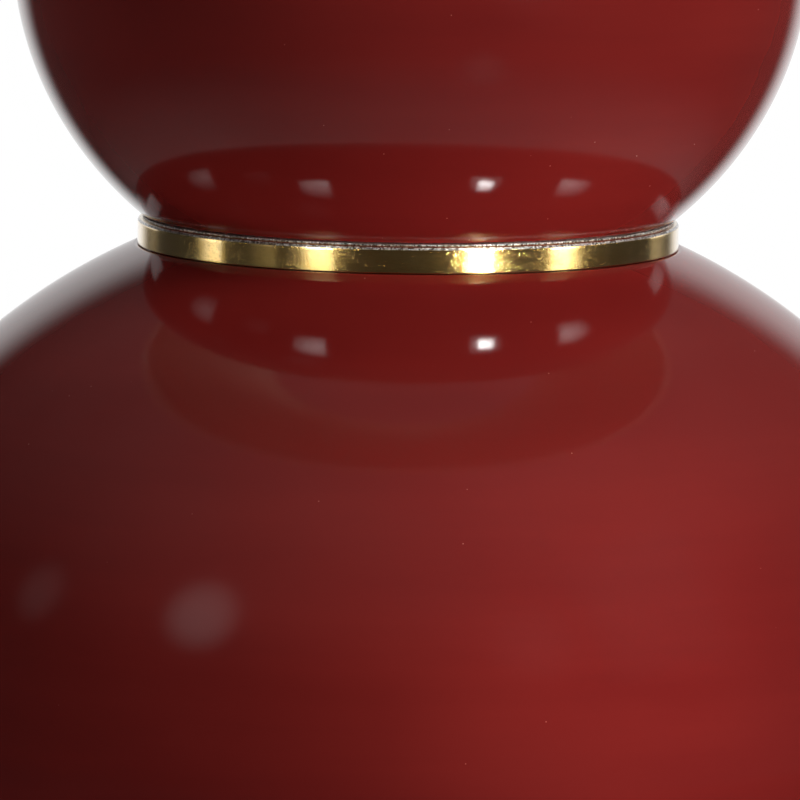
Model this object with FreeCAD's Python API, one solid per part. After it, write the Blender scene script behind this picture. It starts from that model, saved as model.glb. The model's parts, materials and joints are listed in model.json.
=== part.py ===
"""Double gourd table lamp: two glazed ceramic gourds with a brass ring at the waist, on a brass plinth.

Millimetres, +Z up. The origin is on the lamp's axis, at the surface it stands on. -Y is the front, where the
switch knob points, and +Y is the back, where the flex leaves the plinth. The harp stands in the XZ plane.
"""

import FreeCAD, Part
import math
import os

Vector = FreeCAD.Vector

# Gourds: each is a flattened ball, an ellipse turned about the lamp's axis
LOWER_RADIUS = 153.0
LOWER_HALF_HEIGHT = 139.0
UPPER_RADIUS = 99.0
UPPER_HALF_HEIGHT = 90.0
GOURD_WALL = 6.0
FOOT_RADIUS = 80.0
TOP_RIM_RADIUS = 22.0
TOP_HOLE_RADIUS = 13.0
LOWER_RIM_ROUND = 1.2
UPPER_RIM_ROUND = 2.2
FOOT_ROUND = 1.5
TOP_RIM_ROUND = 1.0

# Plinth and what it holds
FELT_THICKNESS = 1.5
FELT_INSET = 2.0
PLINTH_HEIGHT = 24.0
PLINTH_STEP_HEIGHT = 14.0
PLINTH_WALL = 3.0
PLINTH_FOOT_MARGIN = 3.0
PLINTH_STEP_WIDTH = 6.0
PLINTH_EDGE_ROUND = 2.4
PLINTH_STEP_ROUND = 1.4
WEIGHT_THICKNESS = 9.0
WEIGHT_CLEARANCE = 1.0
FOOT_GASKET_THICKNESS = 1.0
FOOT_GASKET_WIDTH = 8.0
FOOT_GASKET_INSET = 4.0
NUT_WASHER_WIDTH = 10.8
NUT_WASHER_THICKNESS = 1.5
NUT_ACROSS_FLATS = 18.0
NUT_THICKNESS = 4.0

# Flex inlet at the back of the plinth
INLET_BORE_RADIUS = 3.0
INLET_BUSH_WALL = 1.2
INLET_LIP_STEP = 0.8
INLET_LIP_LENGTH = 2.4
INLET_FLANGE_STEP = 1.8
INLET_FLANGE_LENGTH = 1.8

# Threaded pipe that ties the lamp together
PIPE_RADIUS = 5.0
PIPE_BORE_RADIUS = 3.6
PIPE_TAIL = 2.0
PIPE_CLEARANCE = 0.2

# Waist between the gourds
WAIST_GASKET_THICKNESS = 0.2
WAIST_GASKET_WIDTH = 4.5
WAIST_GASKET_INSET = 3.6
RING_RADIUS = 67.5
LOWER_RIM_MARGIN = 0.9
UPPER_RIM_SETBACK = 1.4
RING_HEIGHT = 6.5
RING_WIDTH = 9.5
RING_TOP_ROUND = 1.2
RING_BOTTOM_ROUND = 0.3
RING_WASHER_THICKNESS = 0.4
RING_WASHER_INSET = 1.3
WAIST_DISC_THICKNESS = 3.0
SPIGOT_WALL = 3.0
SPIGOT_HEIGHT = 3.0
SPIGOT_CLEARANCE = 1.0

# Cap and neck above the upper gourd
CAP_GASKET_THICKNESS = 0.8
CAP_GASKET_INSET = 1.5
CAP_OVERHANG = 4.0
CAP_EDGE_HEIGHT = 3.0
CAP_HEIGHT = 11.0
CAP_HUB_STEP = 1.0
CAP_COVE_RISE = 1.5
CAP_COVE = 5.0
NECK_HEIGHT = 26.0
NECK_WALL = 2.3
NECK_COLLAR_STEP = 3.0
NECK_COLLAR_HEIGHT = 2.6
NECK_BEAD_HEIGHT = 5.0
CHECK_RING_OVERHANG = 3.5
CHECK_RING_THICKNESS = 2.0

# Harp and its saddle
HARP_HALF_SPAN = 52.0
HARP_HALF_WIDTH = 63.0
HARP_WIRE_RADIUS = 1.8
HARP_RISE = 226.0
HARP_STRAIGHT = 34.0
HARP_STRAIGHT_CURVE = 60.0
HARP_SWELL_FOOT = 92.0
HARP_SWELL_CURVE = 120.0
HARP_TOP_CURVE = 50.0
HARP_PLATE_MARGIN = 0.8
HARP_PLATE_WIDTH = 11.0
HARP_PLATE_CORNER = 3.3
HARP_PLATE_THICKNESS = 2.2
SADDLE_SHEET = 1.6
SADDLE_ARM_WIDTH = 9.0
SADDLE_DISC_RADIUS = 13.0
SADDLE_EAR_HEIGHT = 16.0
SADDLE_BEND = 5.0
TONGUE_WIDTH = 5.0
TONGUE_HEIGHT = 11.0
FORK_WALL = 1.1
FORK_BRIDGE = 3.0
FORK_CLEARANCE = 0.1
FERRULE_WALL = 0.7
FERRULE_CLEARANCE = 0.25
FERRULE_TOP = 1.5
FERRULE_WIRE_CLEARANCE = 0.15

# Swivel stud on the harp, and the finial that screws down on it
SWIVEL_SHANK_RADIUS = 2.0
SWIVEL_HEAD_STEP = 1.4
SWIVEL_HEAD_THICKNESS = 1.3
SWIVEL_PAD_STEP = 5.4
SWIVEL_PAD_THICKNESS = 2.0
STUD_RADIUS = 3.1
STUD_LENGTH = 14.0
STUD_CHAMFER = 0.6
RUNNING_CLEARANCE = 0.05
SEAT_GAP = 0.1
THREAD_CLEARANCE = 0.15
FINIAL_BASE_STEP = 2.7
FINIAL_BASE_HEIGHT = 3.0
FINIAL_STEM_WALL = 1.55
FINIAL_STEM_HEIGHT = 7.0
FINIAL_BALL_RADIUS = 9.5
FINIAL_TIP_RADIUS = 2.2
FINIAL_TIP_HEIGHT = 2.0
FINIAL_BORE_END = 1.0

# Socket, from its cap up to the rim
SOCKET_HUB_WALL = 3.0
SOCKET_HUB_HEIGHT = 5.0
SOCKET_CAP_HEIGHT = 21.0
SOCKET_SHEET = 0.7
SOCKET_FIT = 0.1
SOCKET_SHELL_START = 14.0
SOCKET_FLARE_TOP = 12.3
SOCKET_FLARE_ROUND = 2.0
SOCKET_RIM_FLARE = 1.4
SOCKET_RIM_RISE = 2.5
SOCKET_RIM_HEIGHT = 2.6
LINER_THICKNESS = 0.6
SET_SCREW_RADIUS = 1.5
SET_SCREW_LENGTH = 5.0
HOUSING_CLEARANCE = 1.4
HOUSING_START = 12.0
HOUSING_HEIGHT = 22.0
SWITCH_RISE = 13.8
TERMINAL_FLAT_DEPTH = 3.0
TERMINAL_RADIUS = 3.0
TERMINAL_THICKNESS = 1.8
TERMINAL_HEIGHT = 6.0
TERMINAL_FLAT_HEIGHT = 12.0
SLOT_WIDTH = 0.8
SLOT_DEPTH = 0.7
CONTACT_WIDTH = 5.0
CONTACT_LENGTH = 10.0
CONTACT_LEAF_WIDTH = 4.0
CONTACT_LEAF_LENGTH = 7.0
CONTACT_SHEET = 0.4
SCREW_SHELL_WALL = 1.05
SCREW_SHELL_CLEARANCE = 1.9

# Bulb with its screw cap
THREAD_RADIUS = 12.75
THREAD_DEPTH = 0.35
THREAD_PITCH = 3.63
THREAD_TURNS = 5
SCREW_CLEARANCE = 0.3
BULB_CAP_WALL = 0.6
INSULATOR_HEIGHT = 3.2
INSULATOR_FOOT_RADIUS = 5.6
TIP_RADIUS = 4.6
TIP_HEIGHT = 1.2
COLLAR_HEIGHT = 20.0
COLLAR_WAIST_HEIGHT = 6.0
COLLAR_WAIST_SWELL = 0.5
COLLAR_WAIST_CURVE = 20.0
COLLAR_TOP_RADIUS = 21.0
COLLAR_WALL = 3.6
GLOBE_RADIUS = 30.0
GLOBE_RISE = 34.0
GLOBE_WALL = 1.2

# Switch on the socket's front
STEM_RADIUS = 2.3
STEM_SEAT = 9.0
KNOB_RADIUS = 7.0
KNOB_LENGTH = 13.0
KNOB_BORE_DEPTH = 9.0
KNOB_END_ROUND = 1.2
KNOB_SKIRT = 2.0
KNOB_GAP = 3.4
KNOB_FLUTES = 14
KNOB_FLUTE_RADIUS = 0.9
STEM_COLLAR_WALL = 1.9
STEM_COLLAR_HEIGHT = 2.6

# Shade and its wire frame
SHADE_TOP_RADIUS = 178.0
SHADE_BOTTOM_RADIUS = 203.0
SHADE_HEIGHT = 264.0
SHADE_DROP = 13.0
SHADE_WIRE_RADIUS = 1.7
SHADE_WIRE_INSET = 0.1
LINER_SHEET = 0.8
LINEN_SHEET = 0.6
TRIM_SHEET = 0.5
TRIM_HEIGHT = 9.0
HUB_WIDTH = 7.7
HUB_THICKNESS = 1.6
HUB_CLEARANCE = 0.2
ARM_COUNT = 3
ARM_LEVEL_RUN = 34.0
ARM_BEND = 20.0

# Edges that are only broken, and edges that are eased
BROKEN_EDGE = 0.4
EASED_EDGE = 0.8

AXIS = Vector(0, 0, 1)
FRONT = Vector(0, -1, 0)
BACK = Vector(0, 1, 0)


def ellipse_rise(radius, full_radius, half_height):
    """How far from its widest level a gourd has narrowed to the given radius."""
    return half_height * math.sqrt(1 - (radius / full_radius) ** 2)


def ellipse_radius(rise, full_radius, half_height):
    """The radius of a gourd at a given distance from its widest level."""
    return full_radius * math.sqrt(1 - (rise / half_height) ** 2)


# Radii of the gourds' rims at the ring
lower_rim_radius = RING_RADIUS + LOWER_RIM_MARGIN
upper_rim_radius = RING_RADIUS - UPPER_RIM_SETBACK

# Levels, from the table up
plinth_bottom = FELT_THICKNESS
plinth_step = plinth_bottom + PLINTH_STEP_HEIGHT
plinth_top = plinth_bottom + PLINTH_HEIGHT
plinth_ceiling = plinth_top - PLINTH_WALL
weight_bottom = plinth_ceiling - WEIGHT_THICKNESS
washer_bottom = weight_bottom - NUT_WASHER_THICKNESS
nut_bottom = washer_bottom - NUT_THICKNESS
pipe_bottom = nut_bottom - PIPE_TAIL
inlet_height = plinth_bottom + (PLINTH_STEP_HEIGHT - PLINTH_WALL) / 2
foot_level = plinth_top + FOOT_GASKET_THICKNESS
lower_centre = foot_level + ellipse_rise(FOOT_RADIUS, LOWER_RADIUS, LOWER_HALF_HEIGHT)
lower_rim = lower_centre + ellipse_rise(lower_rim_radius, LOWER_RADIUS, LOWER_HALF_HEIGHT)
ring_bottom = lower_rim + WAIST_GASKET_THICKNESS
ring_top = ring_bottom + RING_HEIGHT
ring_washer_top = ring_top + RING_WASHER_THICKNESS
upper_rim = ring_washer_top + WAIST_GASKET_THICKNESS
upper_centre = upper_rim + ellipse_rise(upper_rim_radius, UPPER_RADIUS, UPPER_HALF_HEIGHT)
top_rim = upper_centre + ellipse_rise(TOP_RIM_RADIUS, UPPER_RADIUS, UPPER_HALF_HEIGHT)
cap_bottom = top_rim + CAP_GASKET_THICKNESS
cap_top = cap_bottom + CAP_HEIGHT
neck_top = cap_top + NECK_HEIGHT
saddle_bottom = neck_top + CHECK_RING_THICKNESS
saddle_top = saddle_bottom + SADDLE_SHEET
ear_top = saddle_bottom + SADDLE_EAR_HEIGHT
tongue_top = ear_top + TONGUE_HEIGHT
socket_bottom = saddle_top
housing_bottom = socket_bottom + HOUSING_START
housing_top = housing_bottom + HOUSING_HEIGHT
switch_level = housing_bottom + SWITCH_RISE
bulb_tip_bottom = housing_top + 2 * CONTACT_SHEET + SEAT_GAP
bulb_cap_bottom = bulb_tip_bottom + TIP_HEIGHT + INSULATOR_HEIGHT
bulb_cap_top = bulb_cap_bottom + THREAD_TURNS * THREAD_PITCH
shell_top = bulb_cap_top + SOCKET_RIM_RISE
collar_top = bulb_cap_top + COLLAR_HEIGHT
globe_centre = collar_top + GLOBE_RISE
harp_top = ear_top + HARP_RISE
plate_top = harp_top + HARP_PLATE_THICKNESS / 2
plate_bottom = harp_top - HARP_PLATE_THICKNESS / 2
pad_bottom = plate_top + SEAT_GAP
pad_top = pad_bottom + SWIVEL_PAD_THICKNESS
hub_bottom = pad_top + SEAT_GAP
hub_top = hub_bottom + HUB_THICKNESS
finial_bottom = hub_top + SEAT_GAP
shade_top = hub_bottom + SHADE_DROP
shade_bottom = shade_top - SHADE_HEIGHT

# Radii that follow, from the foot up
lower_inner = (LOWER_RADIUS - GOURD_WALL, LOWER_HALF_HEIGHT - GOURD_WALL)
upper_inner = (UPPER_RADIUS - GOURD_WALL, UPPER_HALF_HEIGHT - GOURD_WALL)
foot_bore = ellipse_radius(lower_centre - foot_level, *lower_inner)
lower_rim_bore = ellipse_radius(lower_rim - lower_centre, *lower_inner)
upper_rim_bore = ellipse_radius(upper_centre - upper_rim, *upper_inner)
plinth_step_radius = FOOT_RADIUS + PLINTH_FOOT_MARGIN
plinth_radius = plinth_step_radius + PLINTH_STEP_WIDTH
inlet_neck_radius = INLET_BORE_RADIUS + INLET_BUSH_WALL
inlet_lip_radius = inlet_neck_radius + INLET_LIP_STEP
inlet_flange_radius = inlet_neck_radius + INLET_FLANGE_STEP
pipe_hole = PIPE_RADIUS + PIPE_CLEARANCE
nut_washer_radius = pipe_hole + NUT_WASHER_WIDTH
ring_bore = RING_RADIUS - RING_WIDTH
neck_radius = pipe_hole + NECK_WALL
neck_collar_radius = neck_radius + NECK_COLLAR_STEP
cap_radius = TOP_RIM_RADIUS + CAP_OVERHANG
cap_hub_radius = neck_collar_radius + CAP_HUB_STEP
check_ring_radius = neck_collar_radius + CHECK_RING_OVERHANG
screw_shell_bore = THREAD_RADIUS + SCREW_CLEARANCE
screw_shell_radius = screw_shell_bore + SCREW_SHELL_WALL
liner_bore = screw_shell_radius + SCREW_SHELL_CLEARANCE
liner_outer = liner_bore + LINER_THICKNESS
shell_bore = liner_outer + SOCKET_FIT
shell_radius = shell_bore + SOCKET_SHEET
socket_rim_radius = shell_radius + SOCKET_RIM_FLARE
socket_hub_radius = PIPE_RADIUS + SOCKET_HUB_WALL
housing_radius = liner_bore - HOUSING_CLEARANCE
terminal_face = housing_radius - TERMINAL_FLAT_DEPTH
collar_foot_radius = THREAD_RADIUS + THREAD_DEPTH
collar_waist_radius = collar_foot_radius + COLLAR_WAIST_SWELL
stem_collar_radius = STEM_RADIUS + STEM_COLLAR_WALL
collar_hole = stem_collar_radius + SOCKET_FIT
knob_face = shell_radius + KNOB_GAP
fork_half_thickness = SADDLE_SHEET / 2 + FORK_CLEARANCE + FORK_WALL
ferrule_bore = math.hypot(fork_half_thickness, TONGUE_WIDTH / 2) + FERRULE_CLEARANCE
fork_bottom = ear_top + 2 * SEAT_GAP
slot_top = tongue_top + SEAT_GAP
fork_top = slot_top + FORK_BRIDGE
swivel_head_radius = SWIVEL_SHANK_RADIUS + SWIVEL_HEAD_STEP
swivel_pad_radius = STUD_RADIUS + SWIVEL_PAD_STEP
plate_half_length = swivel_pad_radius + HARP_PLATE_MARGIN + HARP_WIRE_RADIUS
hub_radius = STUD_RADIUS + HUB_CLEARANCE + HUB_WIDTH
finial_bore = STUD_RADIUS + THREAD_CLEARANCE
finial_stem_radius = finial_bore + FINIAL_STEM_WALL
finial_base_radius = finial_stem_radius + FINIAL_BASE_STEP
shade_slope = (SHADE_BOTTOM_RADIUS - SHADE_TOP_RADIUS) / SHADE_HEIGHT


def place(radius, height):
    """A point of a profile: its distance from the lamp's axis, and its height."""
    return Vector(radius, 0, height)


def line(start, end):
    return Part.makeLine(start, end)


def arc(start, middle, end):
    return Part.Arc(start, middle, end).toShape()


def rounded_path(points, closed=False):
    """Straight runs through (x, z) or (x, z, radius) points; a third value eases that corner by an arc."""
    corners = [(place(p[0], p[1]), p[2] if len(p) > 2 else 0.0) for p in points]
    count = len(corners)
    eased = []
    for i, (corner, radius) in enumerate(corners):
        inner = closed or 0 < i < count - 1
        if not radius or not inner:
            eased.append((corner, None, corner))
            continue
        back = corners[i - 1][0] - corner
        ahead = corners[(i + 1) % count][0] - corner
        half_angle = back.getAngle(ahead) / 2
        run = min(radius / math.tan(half_angle), 0.49 * back.Length, 0.49 * ahead.Length)
        reach = run / math.cos(half_angle)
        eased_radius = run * math.tan(half_angle)
        back.normalize()
        ahead.normalize()
        bisector = (back + ahead).normalize()
        middle = corner + bisector * (reach - eased_radius)
        eased.append((corner + back * run, middle, corner + ahead * run))
    edges = []
    for i, (start, middle, end) in enumerate(eased):
        if middle is not None:
            edges.append(arc(start, middle, end))
        following = eased[(i + 1) % count][0]
        if (closed or i < count - 1) and end.distanceToPoint(following) > 1e-6:
            edges.append(line(end, following))
    return edges


def turned(edges):
    """A solid of revolution about the lamp's axis, from a closed profile."""
    return Part.Face(Part.Wire(edges)).revolve(Vector(), AXIS, 360)


def turned_outline(points):
    return turned(rounded_path(points, closed=True))


def tube(outer, bore, bottom, top):
    """An upright ring or tube about the lamp's axis."""
    return turned_outline([(bore, bottom), (outer, bottom), (outer, top), (bore, top)])


def rod(radius, start, length, direction):
    return Part.makeCylinder(radius, length, start, direction)


def block(x_size, y_size, bottom, top, x=0.0, y=0.0):
    """An upright box centred on x and y."""
    return Part.makeBox(x_size, y_size, top - bottom, Vector(x - x_size / 2, y - y_size / 2, bottom))


def hexagon_prism(across_flats, bottom, height):
    corner = across_flats / math.sqrt(3)
    points = [
        Vector(corner * math.cos(math.radians(60 * i)), corner * math.sin(math.radians(60 * i)), bottom)
        for i in range(7)
    ]
    return Part.Face(Part.makePolygon(points)).extrude(Vector(0, 0, height))


def ellipse_arc(full_radius, half_height, centre, low, high):
    """The part of an ellipse between two levels, on the side away from the lamp's axis, from low to high."""
    middle = place(0, centre)
    if full_radius >= half_height:
        curve = Part.Ellipse(place(full_radius, centre), place(0, centre + half_height), middle)
        start, end = (math.asin((level - centre) / half_height) for level in (low, high))
    else:
        curve = Part.Ellipse(place(0, centre + half_height), place(full_radius, centre), middle)
        start, end = (math.acos((level - centre) / half_height) for level in (high, low))
    return Part.ArcOfEllipse(curve, start, end).toShape()


def gourd_side(full_radius, half_height, centre, low, high):
    """A gourd's side from low to high, in two parts that meet at its widest level."""
    ellipse = (full_radius, half_height, centre)
    return [ellipse_arc(*ellipse, low, centre), ellipse_arc(*ellipse, centre, high)]


def eased_rim(full_radius, half_height, centre, level, rounding):
    """A gourd's rim, eased: the level where its side stops, the arc, and the point where the flat starts."""
    up = 1 if level > centre else -1
    low = 0.0
    high = math.asin(abs(level - centre) / half_height)
    for _ in range(60):
        angle = (low + high) / 2
        out = Vector(math.cos(angle) / full_radius, 0, up * math.sin(angle) / half_height).normalize()
        side = place(full_radius * math.cos(angle), centre + up * half_height * math.sin(angle))
        middle = side - out * rounding
        if up * (level - middle.z) > rounding:
            low = angle
        else:
            high = angle
    flat = place(middle.x, level)
    crown = middle + (out + AXIS * up).normalize() * rounding
    return side.z, arc(side, crown, flat), flat


# Plinth


def felt_pad():
    return Part.makeCylinder(plinth_radius - FELT_INSET, FELT_THICKNESS)


def base_plinth():
    shell = turned_outline(
        [
            (plinth_radius - PLINTH_WALL, plinth_bottom),
            (plinth_radius, plinth_bottom, PLINTH_STEP_ROUND),
            (plinth_radius, plinth_step, PLINTH_EDGE_ROUND),
            (plinth_step_radius, plinth_step, PLINTH_STEP_ROUND),
            (plinth_step_radius, plinth_top, PLINTH_STEP_ROUND),
            (pipe_hole, plinth_top),
            (pipe_hole, plinth_ceiling),
            (plinth_step_radius - PLINTH_WALL, plinth_ceiling),
            (plinth_step_radius - PLINTH_WALL, plinth_step - PLINTH_WALL),
            (plinth_radius - PLINTH_WALL, plinth_step - PLINTH_WALL),
        ]
    )
    inside = Vector(0, plinth_radius - 2 * PLINTH_WALL, inlet_height)
    return shell.cut(rod(inlet_neck_radius + RUNNING_CLEARANCE, inside, 3 * PLINTH_WALL, BACK))


def base_weight():
    radius = plinth_step_radius - PLINTH_WALL - WEIGHT_CLEARANCE
    return tube(radius, pipe_hole, weight_bottom, plinth_ceiling)


def bottom_washer():
    return tube(nut_washer_radius, pipe_hole, washer_bottom, weight_bottom)


def bottom_locknut():
    nut = hexagon_prism(NUT_ACROSS_FLATS, nut_bottom, NUT_THICKNESS)
    return nut.cut(rod(PIPE_RADIUS, place(0, nut_bottom), NUT_THICKNESS, AXIS))


def inlet_bush():
    """A bush with a flange outside the wall, a neck through it and a lip that snaps in behind it."""
    lip_face = math.sqrt((plinth_radius - PLINTH_WALL) ** 2 - inlet_lip_radius**2) - SEAT_GAP
    flange_face = plinth_radius + RUNNING_CLEARANCE
    tail = lip_face - INLET_LIP_LENGTH
    nose = flange_face + INLET_FLANGE_LENGTH
    solid = rod(inlet_neck_radius, Vector(0, tail, inlet_height), nose - tail, BACK)
    solid = solid.fuse(rod(inlet_lip_radius, Vector(0, tail, inlet_height), INLET_LIP_LENGTH, BACK))
    flange = rod(inlet_flange_radius, Vector(0, flange_face, inlet_height), INLET_FLANGE_LENGTH, BACK)
    bore = rod(INLET_BORE_RADIUS, Vector(0, tail, inlet_height), nose - tail, BACK)
    return solid.fuse(flange).cut(bore).removeSplitter()


def threaded_pipe():
    return tube(PIPE_RADIUS, PIPE_BORE_RADIUS, pipe_bottom, housing_bottom - SEAT_GAP)


def foot_gasket():
    outer = FOOT_RADIUS - FOOT_GASKET_INSET
    return tube(outer, outer - FOOT_GASKET_WIDTH, plinth_top, foot_level)


# Gourds


def lower_gourd():
    outer = (LOWER_RADIUS, LOWER_HALF_HEIGHT, lower_centre)
    high, rim_round, rim = eased_rim(*outer, lower_rim, LOWER_RIM_ROUND)
    low, foot_round, foot = eased_rim(*outer, foot_level, FOOT_ROUND)
    return turned(
        [
            *gourd_side(*outer, low, high),
            rim_round,
            line(rim, place(lower_rim_bore, lower_rim)),
            *reversed(gourd_side(*lower_inner, lower_centre, foot_level, lower_rim)),
            line(place(foot_bore, foot_level), foot),
            foot_round,
        ]
    )


def upper_gourd():
    outer = (UPPER_RADIUS, UPPER_HALF_HEIGHT, upper_centre)
    high, top_round, top = eased_rim(*outer, top_rim, TOP_RIM_ROUND)
    low, rim_round, rim = eased_rim(*outer, upper_rim, UPPER_RIM_ROUND)
    hole_level = upper_centre + ellipse_rise(TOP_HOLE_RADIUS, *upper_inner)
    return turned(
        [
            *gourd_side(*outer, low, high),
            top_round,
            line(top, place(TOP_HOLE_RADIUS, top_rim)),
            line(place(TOP_HOLE_RADIUS, top_rim), place(TOP_HOLE_RADIUS, hole_level)),
            *reversed(gourd_side(*upper_inner, upper_centre, upper_rim, hole_level)),
            line(place(upper_rim_bore, upper_rim), rim),
            rim_round,
        ]
    )


# Waist


def lower_waist_gasket():
    outer = RING_RADIUS - WAIST_GASKET_INSET
    return tube(outer, outer - WAIST_GASKET_WIDTH, lower_rim, ring_bottom)


def waist_ring():
    return turned_outline(
        [
            (ring_bore, ring_bottom),
            (RING_RADIUS, ring_bottom, RING_BOTTOM_ROUND),
            (RING_RADIUS, ring_top, RING_TOP_ROUND),
            (ring_bore, ring_top),
        ]
    )


def waist_disc():
    """The plate inside the ring: its hole centres the pipe and its spigots centre both gourds."""
    lower_spigot = lower_rim_bore - SPIGOT_CLEARANCE
    upper_spigot = upper_rim_bore - SPIGOT_CLEARANCE
    middle = (ring_bottom + ring_top) / 2
    bottom = middle - WAIST_DISC_THICKNESS / 2
    top = middle + WAIST_DISC_THICKNESS / 2
    low = lower_rim - SPIGOT_HEIGHT
    high = upper_rim + SPIGOT_HEIGHT
    return turned_outline(
        [
            (pipe_hole, bottom),
            (lower_spigot - SPIGOT_WALL, bottom),
            (lower_spigot - SPIGOT_WALL, low),
            (lower_spigot, low),
            (lower_spigot, bottom),
            (ring_bore, bottom),
            (ring_bore, top),
            (upper_spigot, top),
            (upper_spigot, high),
            (upper_spigot - SPIGOT_WALL, high),
            (upper_spigot - SPIGOT_WALL, top),
            (pipe_hole, top),
        ]
    )


def ring_washer():
    return tube(RING_RADIUS - RING_WASHER_INSET, ring_bore, ring_top, ring_washer_top)


def upper_waist_gasket():
    outer = RING_RADIUS - WAIST_GASKET_INSET - RING_WASHER_INSET
    return tube(outer, outer - WAIST_GASKET_WIDTH, ring_washer_top, upper_rim)


# Cap and neck


def cap_gasket():
    return tube(TOP_RIM_RADIUS - CAP_GASKET_INSET, TOP_HOLE_RADIUS, top_rim, cap_bottom)


def gourd_cap():
    return turned_outline(
        [
            (pipe_hole, cap_bottom),
            (cap_radius, cap_bottom, BROKEN_EDGE),
            (cap_radius, cap_bottom + CAP_EDGE_HEIGHT, EASED_EDGE),
            (cap_hub_radius, cap_bottom + CAP_EDGE_HEIGHT + CAP_COVE_RISE, CAP_COVE),
            (cap_hub_radius, cap_top, EASED_EDGE),
            (pipe_hole, cap_top),
        ]
    )


def neck_tube():
    """A turned neck: a collar at each end and a round bead half way up."""
    middle = (cap_top + neck_top) / 2
    bead_low = middle - NECK_BEAD_HEIGHT / 2
    bead_high = middle + NECK_BEAD_HEIGHT / 2
    low_collar = cap_top + NECK_COLLAR_HEIGHT
    high_collar = neck_top - NECK_COLLAR_HEIGHT
    bead_radius = neck_radius + NECK_BEAD_HEIGHT / 2
    lower = rounded_path(
        [
            (pipe_hole, cap_top),
            (neck_collar_radius, cap_top, BROKEN_EDGE),
            (neck_collar_radius, low_collar, EASED_EDGE),
            (neck_radius, low_collar, EASED_EDGE),
            (neck_radius, bead_low),
        ]
    )
    upper = rounded_path(
        [
            (neck_radius, bead_high),
            (neck_radius, high_collar, EASED_EDGE),
            (neck_collar_radius, high_collar, EASED_EDGE),
            (neck_collar_radius, neck_top, BROKEN_EDGE),
            (pipe_hole, neck_top),
        ]
    )
    bead = arc(place(neck_radius, bead_low), place(bead_radius, middle), place(neck_radius, bead_high))
    bore = line(place(pipe_hole, neck_top), place(pipe_hole, cap_top))
    return turned([*lower, bead, *upper, bore])


def check_ring():
    return turned_outline(
        [
            (pipe_hole, neck_top),
            (check_ring_radius, neck_top, EASED_EDGE),
            (check_ring_radius, saddle_bottom, EASED_EDGE),
            (pipe_hole, saddle_bottom),
        ]
    )


# Harp


def harp_saddle():
    """A strip bent up into two ears, each with a narrow tongue that a foot of the harp sits on."""
    inner = HARP_HALF_SPAN - SADDLE_SHEET / 2
    outer = HARP_HALF_SPAN + SADDLE_SHEET / 2
    strip = rounded_path(
        [
            (-outer, ear_top),
            (-outer, saddle_bottom, SADDLE_BEND),
            (outer, saddle_bottom, SADDLE_BEND),
            (outer, ear_top),
            (inner, ear_top),
            (inner, saddle_top, SADDLE_BEND - SADDLE_SHEET),
            (-inner, saddle_top, SADDLE_BEND - SADDLE_SHEET),
            (-inner, ear_top),
        ],
        closed=True,
    )
    saddle = Part.Face(Part.Wire(strip)).extrude(Vector(0, SADDLE_ARM_WIDTH, 0))
    saddle.translate(Vector(0, -SADDLE_ARM_WIDTH / 2, 0))
    saddle = saddle.fuse(rod(SADDLE_DISC_RADIUS, place(0, saddle_bottom), SADDLE_SHEET, AXIS))
    for side in (-1, 1):
        tongue = block(SADDLE_SHEET, TONGUE_WIDTH, ear_top, tongue_top, x=side * HARP_HALF_SPAN)
        saddle = saddle.fuse(tongue)
    return saddle.cut(rod(pipe_hole, place(0, saddle_bottom), SADDLE_SHEET, AXIS)).removeSplitter()


def harp_side():
    """Corners of the harp's right half, from the foot up to the middle of the top."""
    return [
        (HARP_HALF_SPAN, fork_top - FORK_BRIDGE / 2),
        (HARP_HALF_SPAN, ear_top + HARP_STRAIGHT, HARP_STRAIGHT_CURVE),
        (HARP_HALF_WIDTH, ear_top + HARP_SWELL_FOOT, HARP_SWELL_CURVE),
        (HARP_HALF_WIDTH, harp_top, HARP_TOP_CURVE),
        (plate_half_length - HARP_WIRE_RADIUS, harp_top),
    ]


def harp_fork(side):
    """The slotted foot that drops over a tongue of the saddle."""
    x = side * HARP_HALF_SPAN
    fork = block(2 * fork_half_thickness, TONGUE_WIDTH, fork_bottom, fork_top, x=x)
    slot = block(SADDLE_SHEET + 2 * FORK_CLEARANCE, TONGUE_WIDTH, fork_bottom, slot_top, x=x)
    return fork.cut(slot)


def harp():
    plate = block(2 * plate_half_length, HARP_PLATE_WIDTH, plate_bottom, plate_top)
    upright = [edge for edge in plate.Edges if abs(edge.tangentAt(edge.FirstParameter).z) > 0.5]
    plate = plate.makeFillet(HARP_PLATE_CORNER, upright)
    hole = rod(SWIVEL_SHANK_RADIUS + RUNNING_CLEARANCE, place(0, plate_bottom), HARP_PLATE_THICKNESS, AXIS)
    body = plate.cut(hole)
    for side in (-1, 1):
        mirrored = [(side * p[0], *p[1:]) for p in harp_side()]
        path = Part.Wire(rounded_path(mirrored))
        start = place(*mirrored[0][:2])
        section = Part.Wire(Part.makeCircle(HARP_WIRE_RADIUS, start, AXIS))
        body = body.fuse(path.makePipeShell([section], True, True)).fuse(harp_fork(side))
    return body.removeSplitter()


def ferrule(side):
    """A sleeve that locks a harp foot to its tongue, and slides up the wire to free it."""
    wire_hole = HARP_WIRE_RADIUS + FERRULE_WIRE_CLEARANCE
    outer = ferrule_bore + FERRULE_WALL
    bottom = ear_top + SEAT_GAP
    shoulder = fork_top + FERRULE_CLEARANCE
    sleeve = turned_outline(
        [
            (ferrule_bore, bottom),
            (outer, bottom, BROKEN_EDGE),
            (outer, shoulder, EASED_EDGE),
            (wire_hole + FERRULE_WALL / 2, shoulder + FERRULE_TOP),
            (wire_hole, shoulder + FERRULE_TOP),
            (wire_hole, shoulder),
            (ferrule_bore, shoulder),
        ]
    )
    sleeve.translate(Vector(side * HARP_HALF_SPAN, 0, 0))
    return sleeve


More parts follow.
